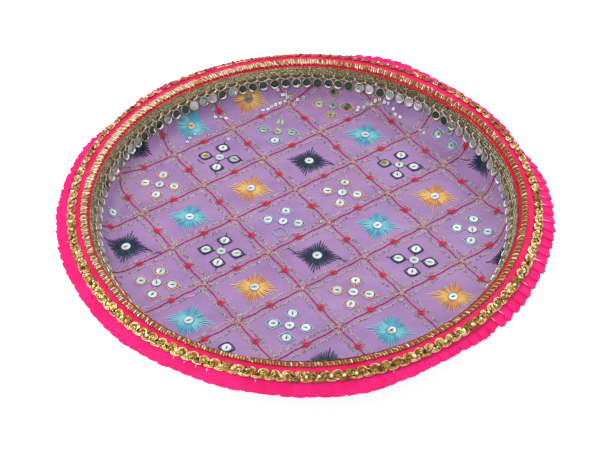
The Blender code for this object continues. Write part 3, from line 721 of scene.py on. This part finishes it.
def make_fold_highlights():
    """Painted highlights along the folded edges of some of the pleats, pale slivers, most of them on the
    right and at the front.
    """
    folds = Shape()
    turns = (np.arange(BEAD_COUNT) + FOLD_PLACE) / BEAD_COUNT * TURN
    fall, tilt = frill_fall(turns)
    front = bump_at(turns, 345.0, 35.0)

    def on_frill(turn, out, lift):
        return off_rim(turn, out, np.interp(turn, turns, tilt), lift)

    chance = 0.1 + 0.4 * front + 0.4 * bump_at(turns, 252.0, 18.0)
    keep = chances(turns) < chance
    steps = np.linspace(0.0, 1.0, 6) * (0.22 + 0.4 * front[keep, None])
    out = fall[keep, None] * steps
    lean = jitter(turns, -0.4, 0.9)[keep]
    bent = turns[keep][:, None] + lean * steps / BEAD_COUNT * 1.6
    paths = coords(bent, out, 0.66 + 0.25 * steps)
    taper = np.array([0.56, 0.5, 0.42, 0.34, 0.22, 0.05])
    broad = 1.0 + 0.5 * bump_at(turns, 252.0, 18.0)[keep, None]
    folds.tubes(on_frill, paths, broad * taper, 0.14, 5)
    folds.finish("frill_fold_highlights", ["fold_highlight_pink"], "pink_frill")


# Gold laces on the rim


def make_braid():
    """Plaited gold braid: round grains down the middle, low strands between them, and a scalloped
    row of small loops along each edge. Where the rim turns to the light its grains are painted cream
    and tan as painted highlight, elsewhere tan and dark gold as painted shade, and its base strand is
    painted tan there, rosy near 55 degrees and dark gold elsewhere."""
    shape = Shape()
    pitch = TURN / BRAID_COUNT
    turn = np.arange(BRAID_COUNT) * pitch
    half = BRAID_WIDTH * (0.49 + 0.07 * bump_at(turn, 120.0, 95.0)[:, None])
    middle = BRAID_MIDDLE * TRIM_UNDER + wander(BRAID_WANDER, turn)[:, None]
    reach = np.array([-0.95, -0.7, -0.35, 0.0, 0.35, 0.7, 0.95])
    arch = np.sqrt(1.0 - reach ** 2)
    # How much each grain lies where the rim turns to the light, for painted highlight
    lit_sector = bump_at(turn, 145.0, 90.0)
    # Share of the pitch, lean, place across, extent, half width, height and look
    grains = [(0.0, 0.1, 0.03, 0.8, 0.66, 0.8, 0), (0.5, 0.14, 0.0, 0.7, 0.5, 0.6, 1),
              (0.5, 0.2, -0.66, 0.34, 0.5, 0.5, 1), (0.5, 0.2, 0.66, 0.34, 0.5, 0.5, 1)]
    for share, lean, place, extent, thick, high, slot in grains:
        sway = jitter(turn, -1.0, 1.0)
        u = turn[:, None] + (share + lean * reach + 0.04 * sway) * pitch
        v = middle + (place + extent * reach) * half + 0.14 * sway
        paths = coords(u, v, 0.25 + high * (1.0 + 0.2 * sway) * arch)
        # Grains picked here take the shaded tints, tan and dark gold, as painted shade; the others are
        # mostly painted cream as painted highlight
        shade_and_reflection = chances(turn) > 0.02 + 0.98 * lit_sector
        pale = chances(turn) < 0.65
        tints = np.where(shade_and_reflection, 1 + (slot > 0), np.where(pale, 0, slot))
        shape.tubes(on_rim, paths, thick * (0.55 + 0.45 * arch), 0.38, 6, slots=tints)
    base = turn[:, None] + pitch * np.array([-0.6, 0.0, 0.6])
    path = coords(base, middle, 0.15)
    # The base strand is painted tan as painted light, rosy near 55 degrees, and dark gold as painted shade
    tints = np.where(lit_sector > 0.55, 1, np.where(bump_at(turn, 55.0, 50.0) > 0.3, 3, 2))
    shape.tubes(on_rim, path, BRAID_WIDTH * 0.36, 0.35, 8, slots=tints)
    tints = ["cream_highlight_gold", "tan_gold", "shaded_dark_gold", "rosy_gold"]
    shape.finish("inner_gold_plait", tints, "gold_thread", node="inner_gold_braid")


def bead_course():
    """The pitch of the outer lace's repeats, their places round the platter and their middles
    across the rim."""
    pitch = TURN / BEAD_COUNT
    turn = (np.arange(BEAD_COUNT) + 0.5) * pitch
    return pitch, turn, BEAD_MIDDLE * TRIM_UNDER + wander(LACE_WANDER, turn)[:, None]


def bead_size(turn):
    """Half the width and the height of the outer lace, which is lower and narrower at the back."""
    half = BEAD_LACE_WIDTH / 2.0 * (0.92 - 0.28 * bump_at(turn, 112.0, 58.0)[:, None])
    return half, 1.0 - 0.58 * bump_at(turn, 112.0, 46.0)[:, None]


def make_bead_lace():
    """Gold cords in arches and, between them on the outer side, in lower lobes, with short ends of
    thread over them, some of them painted dark brown as painted shade."""
    pitch, turn, middle = bead_course()
    half, low = bead_size(turn)
    cords = Shape()
    bow = np.linspace(-1.0, 1.0, 13)
    uneven = jitter(turn, -1.0, 1.0)
    skewed = jitter(turn, -1.0, 1.0)
    # Arches and ends towards the back are tinted brown
    browner_back = chances(turn) < 0.75 * bump_at(turn, 75.0, 62.0)
    # Share of the pitch, reach, span, height, half width and look
    arches = [(0.0, 1.0, 0.44, 0.8, 0.42, 1), (0.0, 0.8, 0.33, 1.0, 0.42, 0),
              (0.0, 0.58, 0.22, 1.15, 0.42, 2), (0.0, 0.34, 0.12, 1.2, 0.42, 0),
              (0.5, -0.42, 0.44, 0.75, 0.46, 1), (0.5, -0.22, 0.33, 0.95, 0.42, 0)]
    for share, reach, span, high, thick, slot in arches:
        u = turn[:, None] + pitch * (share + span * np.sin(bow * 1.8) + 0.05 * skewed * np.cos(bow))
        v = middle + half * (0.34 - reach * 1.34 * np.cos(bow * 1.45)) + 0.22 * uneven * reach
        rise = low * high * (0.3 + 0.7 * np.cos(bow * 1.5)) + 0.14 * skewed
        knobs = np.array([[rng.uniform(0.6, 1.3) for step in bow] for arch in turn])
        tints = np.array([slot if rng.random() < 0.6 else rng.randint(0, 2) for arch in turn])
        tints[browner_back] = 2
        cords.tubes(on_rim, coords(u, v, rise), thick * knobs, 0.4 * knobs, 6, slots=tints)
    plate = [(0.0, 0.0), (2.4, 0.0), (2.5, 0.3), (1.6, 0.5), (0.0, 0.5)]
    for share, across in ((0.0, -0.2), (0.5, 0.3)):
        filling = coords(turn + share * pitch, (middle + across * half)[:, 0], 0.05)
        filling = filling[bump_at(turn, 100.0, 60.0) < 0.5]
        cords.discs(on_rim, filling, plate, 10, pitch / BEAD_PITCH, None, 2)
    for k in range(3):
        lean = k - 1.0
        steps = np.array([-0.2, 0.15, 0.5, 0.85])
        u = turn[:, None] + pitch * (0.09 * lean + 0.1 * lean * steps + 0.03 * skewed)
        v = middle + half * steps + 0.15 * uneven
        rise = np.array([1.1, 1.2, 1.0, 0.5]) - 0.15 * abs(lean)
        cords.tubes(on_rim, coords(u, v, rise), 0.34, 0.3, 5, slots=2 if k % 2 else 0)
    ends = Shape()
    for end in range(14):
        place = jitter(turn, -0.5, 0.5)
        across = jitter(turn, -0.85, 0.7)
        facing = jitter(turn, 0.0, math.pi)
        steps = np.array([-1.0, -0.4, 0.4, 1.0]) * rng.uniform(0.7, 1.2)
        u = turn[:, None] + pitch * (place + steps * np.cos(facing) / BEAD_PITCH)
        v = middle + half * across + steps * np.sin(facing)
        rise = low * (np.array([0.75, 1.35, 1.35, 0.75]) - 0.35 * across ** 2)
        # Some ends are painted dark brown as painted shade between the cords
        tints = np.array([rng.choice((0, 0, 1, 1, 1, 2, 3, 3)) for arch in turn])
        tints[browner_back & (tints < 2)] = 2
        ends.tubes(on_rim, coords(u, v, rise), 0.32, 0.28, 5, slots=tints)
    tints = ["bright_gold", "light_gold", "brown_gold", "shade_brown"]
    cords.finish("outer_lace_cords", tints, "bead_gold", node="outer_bead_lace")
    ends.finish("outer_lace_ends", tints, "bead_gold")


def make_tufts():
    """Tufts of the frill that stand through the outer lace at the back."""
    pitch, turn, middle = bead_course()
    half, low = bead_size(turn)
    tufts = Shape()
    for end in range(10):
        chosen = chances(turn) < bump_at(turn, 88.0, 72.0)
        place = jitter(turn, -0.5, 0.5)[chosen]
        across = jitter(turn, -0.8, 2.1)[chosen]
        steps = np.array([-1.1, -0.4, 0.4, 1.1])
        u = turn[chosen, None] + pitch * (place + 0.07 * steps)
        v = middle[chosen] + half[chosen] * across + 0.6 * steps
        rise = np.array([0.35, 0.8, 0.8, 0.35]) + 0.25 * low[chosen] - 0.04 * across ** 2
        rise = rise + bump_at(turn[chosen, None], 42.0, 24.0) * np.array([0.0, 0.5, 1.1, 1.5])
        tints = [rng.randint(0, 1) for arch in place]
        tufts.tubes(on_rim, coords(u, v, rise), 0.5, 0.36, 5, slots=tints)
    tufts.finish("frill_tufts", ["pink_frill", "deep_pink_frill"], "pink_frill")


def make_studs():
    """A faceted stud in the hollow over each lobe of the outer lace, painted near white as a painted
    glint or dark as a painted reflection, dark more often at the front and at the back."""
    pitch, turn, middle = bead_course()
    squeeze = pitch / BEAD_PITCH
    studs = Shape()
    # The share of studs painted dark as a painted reflection
    darker = 0.35 * bump_at(turn, 275.0, 32.0) + 0.5 * bump_at(turn, 75.0, 60.0)
    slots = (chances(turn) < 0.25 + darker).astype(int)
    wobble = [[rng.uniform(-0.35, 0.35), rng.uniform(-0.35, 0.35)] for stud in turn]
    centres = coords(turn + pitch * 0.5, middle[:, 0], 0.3)
    profile = [(0.0, 0.0), (1.05, 0.0), (1.3, 0.4), (0.9, 1.2), (0.4, 1.6), (0.0, 1.6)]
    studs.discs(on_rim, centres, profile, 6, squeeze, wobble, slots)
    # A dark disc of painted shade under each stud
    hollow = [(0.0, 0.0), (1.45, 0.0), (1.55, 0.1), (1.3, 0.2), (0.0, 0.14)]
    studs.discs(on_rim, centres, hollow, 10, squeeze, None, 2)
    studs.finish("faceted_studs", ["glint_stud", "dark_reflection_stud", "shade_brown"], "bead_gold", 0.0)


def make_woven_band():
    """The mirror lace's band, with rows of slanting threads over it."""
    pitch = TURN / DROP_COUNT
    band = Shape()
    around = np.arange(DROP_COUNT * 8) * pitch / 8.0
    path = coords(around, 0.5 * LACE_BAND - 0.55, 0.3)
    band.tubes(on_wall, path, LACE_BAND * 0.58, 0.26, 8, True, 2)
    stitches = DROP_COUNT * 10
    place = np.arange(stitches) * pitch / 10.0
    for row in range(7):
        shift = jitter(place, -0.25, 0.25)
        slant = (1.0 if row % 2 else -1.0) * 0.045 * pitch
        u = place[:, None] + np.array([-slant, 0.0, slant]) + 0.1 * pitch * shift
        v = -1.0 + 0.95 * row + np.array([-0.42, 0.0, 0.42]) + 0.7 * shift
        lift = np.array([0.5, 0.72, 0.5]) + 0.4 * np.abs(shift)
        slots = np.array([rng.choice(BAND_ROWS[row]) for stitch in place])
        # Stitches are paler towards the back and darker near 35 degrees
        chance = chances(place)
        slots[chance < 0.5 * bump_at(place, 110.0, 50.0)] = 1
        slots[chance > 1.0 - 0.4 * bump_at(place, 35.0, 35.0)] = 2
        band.tubes(on_wall, coords(u, v, lift), 0.27, 0.2, 4, slots=slots)
    tints = ["woven_zari", "pale_zari", "old_gold", "vine_grey"]
    band.finish("mirror_lace_band", tints, "gold_thread", node="mirror_lace")


def make_mirrors():
    """Thread loops under the woven band, and mirrors in wire rings, their dark, grey and lilac tints
    painted reflections.
    """
    pitch = TURN / DROP_COUNT
    squeeze = pitch / DROP_PITCH
    turn = (np.arange(DROP_COUNT) + 0.5) * pitch
    loops = Shape()
    sway = jitter(turn, -0.06, 0.06)
    drift = jitter(turn, -0.3, 0.3)
    for side in (-1.0, 1.0):
        spread = np.array([0.5, 0.5, 0.46, 0.36, 0.22, 0.06])
        down = LACE_BAND + np.array([-0.7, 0.5, 1.4, 2.0, 2.4, 2.9])
        u = turn[:, None] + (side * spread + sway) * pitch
        lift = np.array([0.8, 1.15, 1.25, 1.15, 1.0, 0.9])
        loops.tubes(on_wall, coords(u, down + drift, lift), 0.42, 0.36, 5)
        reach = np.array([0.1, 0.22, 0.32, 0.38, 0.3, 0.12])
        down = LACE_BAND + np.array([-0.2, 0.1, 0.6, 1.3, 2.0, 2.4])
        u = turn[:, None] + (side * reach - sway) * pitch
        lift = np.array([0.8, 0.95, 0.9, 0.85, 0.8, 0.8])
        loops.tubes(on_wall, coords(u, down - drift, lift), 0.36, 0.3, 5, slots=1)
    wave = np.arange(DROP_COUNT * 12) * pitch / 12.0
    lift = 0.75 + 0.25 * np.sin(wave * DROP_COUNT * 3.0)
    for shift, down in ((0.0, 0.5), (math.pi, 1.1)):
        swing = 0.7 * np.cos(wave * DROP_COUNT + shift)
        path = coords(wave, LACE_BAND + down + swing, lift)
        loops.tubes(on_wall, path, 0.3, 0.26, 5, True, 1)
    knots = coords(turn + 0.5 * pitch, LACE_BAND + 1.3 + 1.5 * drift[:, 0], 0.5)
    knot = [(0.0, 0.0), (0.75, 0.1), (0.85, 0.6), (0.5, 1.1), (0.0, 1.2)]
    loops.discs(on_wall, knots, knot, 7, squeeze)
    loops.finish("mirror_lace_loops", ["pale_gold", "old_zari"], "gold_thread")

    drops = Shape()
    waist = LACE_BAND + LACE_LOOP + DROP_RADIUS
    tilt = [[rng.uniform(-0.1, 0.1), rng.uniform(-0.05, 0.08)] for drop in turn]
    centres = coords(turn + sway[:, 0] * pitch, waist, 0.15)
    # How likely each mirror is painted dark as a painted reflection; the rest are painted grey or lilac
    dark = np.max([bump_at(turn, *place) for place in DARK_DROPS], axis=0)
    chance = chances(turn)
    tints = np.where(chance < 0.06 + 0.94 * dark, 0, np.where(chance < 0.55 + 0.45 * dark, 1, 2))
    plate = [(0.0, 0.0), (3.45, 0.0), (3.45, 0.4), (2.4, 0.52), (0.0, 0.58)]
    drops.discs(on_wall, centres, plate, 20, squeeze, tilt, tints)
    # Crescents round the mirrors: white ones are painted glints, dark ones painted reflection. Start and
    # end in half turns, radius, share of the drops and look
    glint_crescents = ((0.15, 0.85, 2.9, 0.75, 5), (0.55, 0.95, 2.1, 0.4, 5), (-0.9, -0.2, 2.7, 0.6, 0))
    for start, stop, reach, many, slot in glint_crescents:
        chosen = chances(turn) < many
        lean = jitter(turn, -0.5, 0.5)[chosen]
        angle = math.pi * np.linspace(start, stop, 7) + lean
        u = centres[chosen, 0, None] + reach * squeeze * np.cos(angle)
        v = centres[chosen, 1, None] + reach * np.sin(angle)
        taper = 0.52 * np.sin(math.pi * np.linspace(0.05, 0.95, 7))
        drops.tubes(on_wall, coords(u, v, 0.72), taper, 0.14, 4, slots=slot)
    ring = [(3.35, 0.0), (3.85, 0.1), (4.0, 0.4), (3.85, 0.7), (3.5, 0.8), (3.3, 0.5), (3.35, 0.0)]
    drops.discs(on_wall, centres, ring, 20, squeeze, tilt, np.where(np.arange(DROP_COUNT) % 3, 3, 4))
    tints = ["dark_reflection_mirror", "grey_reflection_mirror", "pale_reflection_mirror", "pale_gold", "silver_wire", "glint_white"]
    drops.finish("mirror_drops", tints, "mirror")


# Embroidery


def line_points(swap, offset, side, step, limit, wobble=0.0, period=1.0, phase=0.0):
    """Lattice coordinates along one line, inside a circle measured flat about the centre."""
    along = np.arange(-LINE_REACH, LINE_REACH, step)
    across = offset + side + wobble * np.sin(along * TURN / period + phase)
    a, b = (across, along) if swap else (along, across)
    inside = flat_distance(a, b) < limit
    return a[inside], b[inside]


def lattice_lines():
    """Each line of the lattice that crosses the stitched cloth: whether it runs along the long
    side, and its offset."""
    for swap, spacing in ((False, CELL_LONG), (True, CELL_SHORT)):
        for index in range(-LATTICE_CELLS, LATTICE_CELLS + 1):
            crossing = line_points(swap, index * spacing, 0.0, 2.0, UNDER_LACE - 6.0)[0]
            if len(crossing) > 14:
                yield swap, index * spacing


def make_lattice():
    """Couched red lines."""
    lines = Shape()
    for swap, offset in lattice_lines():
        phase = rng.uniform(0.0, TURN)
        a, b = line_points(swap, offset, 0.0, 0.9, UNDER_LACE, 0.28, rng.uniform(13.0, 19.0), phase)
        couch = 0.09 * np.sin(np.arange(len(a)) * 1.26)
        path = coords(a, b, 0.38)
        lines.tubes(on_lattice, path, 0.42 + couch, 0.34 + couch, 6)
    lines.finish("red_couched_lines", ["red_thread"], "red_thread", node="red_lattice_stitching")


def make_knots():
    """Red knots half way along each side of a cell, and small gold ones where the lines cross."""
    knots, ties = Shape(), Shape()
    for i in range(-LATTICE_CELLS, LATTICE_CELLS + 1):
        for j in range(-LATTICE_CELLS, LATTICE_CELLS + 1):
            for du, dv in ((0.5, 0.0), (0.0, 0.5)):
                centre = ((i + du) * CELL_SHORT, (j + dv) * CELL_LONG)
                if flat_distance(*centre) < UNDER_LACE - 3.0:
                    start = rng.uniform(0.0, math.pi)
                    reach = rng.uniform(3.9, 4.7)
                    stitch_burst(knots, centre, 10, start, 0.15, reach, 0.38, 0.8)
            centre = (i * CELL_SHORT, j * CELL_LONG)
            if flat_distance(*centre) < UNDER_LACE - 2.0:
                start = rng.uniform(0.0, math.pi)
                stitch_burst(ties, centre, 8, start, 0.2, rng.uniform(2.6, 3.6), 0.3, 0.8)
    knots.finish("red_knots", ["crimson_thread"], "red_thread")
    ties.finish("gold_crossing_knots", ["vine_gold"], "gold_thread")


def stitch_burst(shape, centre, count, start, low, high, width, rise):
    """Straight stitches that cross at one place, each a little longer or shorter."""
    for k in range(count):
        angle = start + TURN * k / count + rng.uniform(-0.15, 0.15)
        reach = high * rng.uniform(0.62, 1.1)
        steps = np.array([low, 0.35, 0.7, 1.0]) * reach
        u, v = centre[0] + steps * math.cos(angle), centre[1] + steps * math.sin(angle)
        lift = 0.25 + rise * np.array([0.8, 0.75, 0.5, 0.1])
        taper = width * np.array([1.0, 0.95, 0.65, 0.15])
        shape.tubes(on_lattice, coords(u, v, lift), taper, taper * 0.7, 5)


def make_vines():
    """Short slanted stitches of metallic thread in a wavy row on both sides of each red line."""
    vines = {False: Shape(), True: Shape()}
    for swap, offset in lattice_lines():
        for side in (-VINE_OFFSET, VINE_OFFSET):
            period, phase = rng.uniform(8.0, 12.0), rng.uniform(0.0, TURN)
            for push, step in ((0.4, 1.15), (-0.4, 1.35)):
                a, b = line_points(swap, offset, side + push, step, UNDER_LACE, 0.5, period, phase)
                paths, slots = [], []
                for k, (u, v) in enumerate(zip(a, b)):
                    out = (0.6 if k % 2 else -0.6) * rng.uniform(0.4, 1.5)
                    along = rng.uniform(0.3, 0.65)
                    du, dv = (out, along) if swap else (along, out)
                    high = rng.uniform(0.3, 0.62)
                    paths.append([(u - du, v - dv, 0.2), (u, v, high), (u + du, v + dv, 0.2)])
                    slots.append(rng.choice((0, 0, 1, 1, 2)))
                if paths:
                    vines[swap].tubes(on_lattice, paths, 0.19, 0.15, 4, slots=slots)
    tints = ["vine_gold", "vine_grey", "vine_brown"]
    vines[False].finish("vine_stitches_long", tints, "gold_thread")
    vines[True].finish("vine_stitches_short", tints, "gold_thread")


def make_ring_sequins():
    """Runs of tiny ring sequins, painted near white as a painted glint or pearl grey, round a stitch hole.
    """
    tiny = Shape()
    for (x0, y0), (x1, y1), count in RING_RUNS:
        for share in np.linspace(0.0, 1.0, count):
            x = blend(x0, x1, share) + rng.uniform(-1.3, 1.3)
            y = blend(y0, y1, share) + rng.uniform(-1.3, 1.3)
            tilt = [[rng.uniform(-0.25, 0.25), rng.uniform(-0.25, 0.25)]]
            # Tint 1 paints the ring near white as a painted glint
            tint = rng.randint(1, 2)
            tiny.discs(on_cloth, [(x, y, 0.6)], TINY_RING, 10, 1.0, tilt, 0, [tint] * 4 + [0, 0])
    tiny.finish("tiny_ring_sequins", ["stitch_hole", "glint_white", "pearl_sequin"], "mirror")


def add_sequin(shape, centre, tint, rim, lift, angle):
    """A cupped sequin with a darker rim and a small hole, and the eye of thread that holds it. rim
    is the slot of the rim's look, and the next one is the thread's."""
    tilt = [[rng.uniform(-0.05, 0.05), rng.uniform(-0.05, 0.05)]]
    bands = [(tint, rim + 1, rim)[band] for band in SEQUIN_BANDS]
    shape.discs(on_lattice, [(*centre, lift)], SEQUIN, 24, 1.0, tilt, 0, bands)
    angle += rng.uniform(-0.3, 0.3)
    steps = np.array([-1.0, -0.6, -0.3, 0.0, 0.3, 0.6, 1.0]) * rng.uniform(1.4, 2.5)
    for side in (-1.0, 1.0):
        bow = side * 0.5 * np.maximum(0.0, 1.0 - 2.2 * (steps / steps[-1]) ** 2)
        u = centre[0] + steps * math.cos(angle) - bow * math.sin(angle)
        v = centre[1] + steps * math.sin(angle) + bow * math.cos(angle)
        path = coords(u, v, lift + 0.4)
        shape.tubes(on_lattice, path, 0.15, 0.12, 4, slots=rim + 1)


def inside_lace(centre, reach):
    return flat_distance(*centre) + reach < UNDER_LACE


def star_reach(angle):
    """Outline of a star: a diamond with slightly dented sides and its points at the diagonals."""
    along = abs(math.cos(angle - math.pi / 4.0)) / STAR_LONG
    across = abs(math.sin(angle - math.pi / 4.0)) / STAR_SHORT
    return (along ** 0.88 + across ** 0.88) ** (-1.0 / 0.88)


def add_star(shape, centre, full, filling):
    """Straight stitches fanned round a sequin: long ones with gaps between them, and shorter ones
    that fill the middle as far out as filling says, in paler tints towards the long points as painted
    sheen. Where the star runs under the lace, only the ones that fit are made."""
    hidden = flat_distance(*centre) > STITCH_LIMIT and flat_point(*centre)[1] > 100.0
    lace_side = flat_distance(*centre) if hidden else 0.0
    # Share of the pitch, shortest and longest reach, half width, height, and the looks of the long
    # points, paler as painted sheen, and of the rest
    fans = [(0.0, 0.9, 1.02, 0.44, 0.4, (2, 2), (0, 1)),
            (0.5, 0.5, 0.74, 0.34, 0.26, (2, 0), (1, 1)),
            (0.25, 0.38, 0.5, 0.5, 0.14, (0, 0), (1, 0))]
    for offset, short, long, width, high, pale, deep in fans:
        for k in range(STAR_STITCHES):
            angle = TURN * (k + offset + rng.uniform(-0.14, 0.14)) / STAR_STITCHES
            tip = star_reach(angle) * rng.uniform(short, long) * (filling if offset else 1.0)
            end = (centre[0] + tip * math.cos(angle), centre[1] + tip * math.sin(angle))
            far = flat_distance(*end)
            if not full and (far > UNDER_LACE or far < 2.0 * lace_side - UNDER_LACE):
                continue
            steps = np.array([SEQUIN_RADIUS - 1.0, 0.5 * tip, 0.8 * tip, tip])
            u, v = centre[0] + steps * math.cos(angle), centre[1] + steps * math.sin(angle)
            lift = np.array([0.3, high + 0.12, high, 0.05])
            taper = width * np.array([0.8, 1.0, 1.0, 0.75])
            # Stitches towards the long points take the paler looks: painted sheen
            sideways = abs(math.cos(angle - math.pi / 4.0)) + rng.uniform(-0.15, 0.15) > 0.72
            slot = rng.choice(pale if sideways else deep)
            shape.tubes(on_lattice, coords(u, v, lift), taper, 0.22, 4, slots=slot)
    if full or flat_distance(*centre) < UNDER_LACE - SEQUIN_RADIUS:
        add_sequin(shape, centre, 3, 4, 0.62, math.radians(75.0))


def add_frame(shape, centre, thick):
    """Thread laid in a pointed oval round one sequin, with a loose second round."""
    size = rng.uniform(0.98, 1.09)
    for loop in range(2):
        corners = []
        for k in range(4):
            angle = math.pi / 4.0 + k * math.pi / 2.0
            reach = (4.8 if k % 2 else 5.5) * size * rng.uniform(0.96, 1.04) - 0.25 * loop
            corners.append((centre[0] + reach * math.cos(angle), centre[1] + reach * math.sin(angle)))
        path = []
        for k in range(4):
            (u0, v0), (u1, v1) = corners[k], corners[(k + 1) % 4]
            for share in (0.0, 0.25, 0.5, 0.75):
                bow = 0.6 * math.sin(math.pi * share)
                u, v = blend(u0, u1, share), blend(v0, v1, share)
                out = math.hypot(u - centre[0], v - centre[1])
                u += (u - centre[0]) / out * bow
                v += (v - centre[1]) / out * bow
                path.append((u, v, 0.4 + 0.18 * loop))
        shape.tubes(on_lattice, path, thick, 0.8 * thick, 5, True)


def add_link(shape, start, end):
    """A straight stitch between two places."""
    steps = np.linspace(0.0, 1.0, 4)
    u, v = blend(start[0], end[0], steps), blend(start[1], end[1], steps)
    lift = 0.3 + 0.2 * np.sin(math.pi * steps)
    shape.tubes(on_lattice, coords(u, v, lift), 0.27, 0.2, 4)


def add_mirror_group(shape, centre, shade_and_reflection, thick):
    """Five sequins, the outer four in thread frames. The third argument has one letter for each of the
    right, back, left, front and middle ones as the camera sees them: the painted reflection each
    shows, white, grey, beige or dark, or lost."""
    corners = [(1.0, 1.0), (-1.0, 1.0), (-1.0, -1.0), (1.0, -1.0)]
    tint = {"w": 1, "g": 2, "b": 3, "d": 4}
    for (su, sv), letter in zip(corners, shade_and_reflection):
        place = (centre[0] + su * SEQUIN_SPREAD, centre[1] + sv * SEQUIN_SPREAD)
        if not inside_lace(place, 4.6):
            continue
        add_frame(shape, place, thick)
        if rng.random() < 0.5:
            tail = rng.uniform(5.2, 6.4)
            end = (place[0] + su * tail, place[1] + sv * tail * rng.uniform(0.7, 1.0))
            add_link(shape, (place[0] + su * 3.4, place[1] + sv * 3.4), end)
        near = (centre[0] + su * 2.4, centre[1] + sv * 2.4)
        far = (place[0] - su * 3.8, place[1] - sv * 3.8)
        if inside_lace(centre, 0.0):
            add_link(shape, near, far)
        if letter in tint:
            add_sequin(shape, place, tint[letter], 5, 0.4, math.atan2(sv, su))
    if inside_lace(centre, 3.8):
        add_sequin(shape, centre, tint[shade_and_reflection[4]], 5, 0.4, rng.choice((0.8, 2.3)))


def make_motifs():
    """A star or a group of sequins in every cell, numbered from the middle outwards as in the
    solids. Those that run under the mirror lace, which the solids leave out, stand for no node."""
    cells = []
    for i in range(-LATTICE_CELLS, LATTICE_CELLS):
        for j in range(-LATTICE_CELLS, LATTICE_CELLS):
            middle = ((i + 0.5) * CELL_SHORT, (j + 0.5) * CELL_LONG)
            centre = (middle[0] + MOTIF_SHIFT[0], middle[1] + MOTIF_SHIFT[1])
            far = float(flat_distance(*middle))
            if far < UNDER_LACE + 12.0:
                cells.append((far, centre, (i + 2 * j + 5) % len(KINDS), (i, j)))
    counts = [0] * len(KINDS)
    for far, centre, turn_of, cell in sorted(cells):
        kind = KINDS[turn_of]
        counts[turn_of] += 1
        node = f"{kind}_{counts[turn_of]}"
        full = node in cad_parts
        shape = Shape()
        thread = kind.split("_")[0] + "_thread"
        navy, orange = thread == "navy_thread", thread == "orange_thread"
        if kind.endswith("star"):
            add_star(shape, centre, full, 0.84 if navy else 1.0)
            tints = STAR_TINTS[kind] + [sequin_look(centre), "sequin_rim", "stitch_hole"]
        else:
            thick = 0.34 if navy else 0.25
            add_mirror_group(shape, centre, SEQUIN_REFLECTIONS.get(cell, "wwwww"), thick)
            tints = ["tan_thread" if orange else thread, "pearl_sequin", "grey_reflection_sequin", "beige_reflection_sequin",
                     "dark_reflection_sequin", "sequin_rim", "stitch_hole"]
        if shape.count:
            name = f"{node}_stitches" if full else f"{node}_under_lace"
            shape.finish(name, tints, thread, 45.0, node if full else None)


def sequin_look(centre):
    """A star's sequin is painted grey at the front right, and beige or dark at the back left, as painted
    reflections.
    """
    x, y = flat_point(*centre)
    if y < -40.0 and x > 50.0:
        return "grey_reflection_sequin"
    return "pearl_sequin" if y < 84.0 or x > 20.0 else "beige_reflection_sequin" if x < -70.0 else "dark_reflection_sequin"


def make_loose_threads():
    """Loose ends of navy thread beside the dark motifs."""
    loose = Shape()
    for places in LOOSE_THREADS:
        steps = np.linspace(0.0, len(places) - 1.0, 4 * len(places))
        u, v = (np.interp(steps, np.arange(len(places)), side) for side in zip(*places))
        path = coords(u, v, 0.35 + 0.1 * np.sin(3.0 * steps))
        loose.tubes(on_cloth, path, 0.3, 0.2, 4)
    loose.finish("loose_thread_ends", ["navy_thread"], "navy_thread")


# Studio


def make_studio():
    """A plain pale floor, even light from all round and two soft lamps."""
    plane = bpy.data.meshes.new("studio_floor")
    reach = 6.0
    corners = [(-reach, -reach, 0.0), (reach, -reach, 0.0), (reach, reach, 0.0), (-reach, reach, 0.0)]
    plane.from_pydata(corners, [], [(0, 1, 2, 3)])
    floor = new_object("studio_floor", plane)
    look = Look("studio_white", 0.9, Specular_IOR_Level=0.0, Emission_Strength=0.63)
    look.shader.inputs["Emission Color"].default_value = (1.0, 1.0, 1.0, 1.0)
    look.colour(look.ramp(look.noise(3.0), (0.4, (232, 232, 232)), (0.6, (238, 238, 238))))
    plane.materials.append(look.material)

    world = bpy.data.worlds.new("studio")
    world.use_nodes = True
    world.node_tree.nodes["Background"].inputs["Color"].default_value = (1.0, 1.0, 1.0, 1.0)
    world.node_tree.nodes["Background"].inputs["Strength"].default_value = 0.75
    bpy.context.scene.world = world
    for name, place, size, power in (
        ("key_light", (-0.9, -0.3, 1.4), 0.8, 15.0),
        ("back_light", (0.8, 0.9, 1.1), 1.0, 12.0),
    ):
        lamp = bpy.data.lights.new(name, "AREA")
        lamp.size = size
        lamp.energy = power
        light = new_object(name, lamp)
        light.location = place
        light.rotation_euler = (-Vector(place)).to_track_quat("-Z", "Y").to_euler()
    bpy.context.scene.view_settings.view_transform = "Standard"


def make_camera():
    """The camera, which looks at its target from the front and above."""
    data = bpy.data.cameras.new("camera")
    data.sensor_width = 36.0
    data.lens = CAMERA_LENS
    data.clip_start = 0.01
    camera = new_object("camera", data)
    back = Vector((0.0, -math.cos(CAMERA_ELEVATION), math.sin(CAMERA_ELEVATION)))
    camera.location = Vector(CAMERA_TARGET) + back * CAMERA_DISTANCE
    level = (-back).to_track_quat("-Z", "Y").to_matrix()
    camera.rotation_euler = (level @ Matrix.Rotation(CAMERA_ROLL, 3, "Z")).to_euler()
    bpy.context.scene.camera = camera


make_camera()
make_studio()
make_cloth()
make_ribbon()
make_frill()
make_fold_highlights()
make_braid()
make_bead_lace()
make_tufts()
make_studs()
make_woven_band()
make_mirrors()
make_lattice()
make_knots()
make_vines()
make_ring_sequins()
make_motifs()
make_loose_threads()
for node, look, slot in (
    ("tray_shell", "tinned_steel", "tray_steel"),
    ("floor_board", "hardboard", "hardboard"),
):
    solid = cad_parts[node]
    solid.data.materials.clear()
    solid.data.materials.append(looks[look])
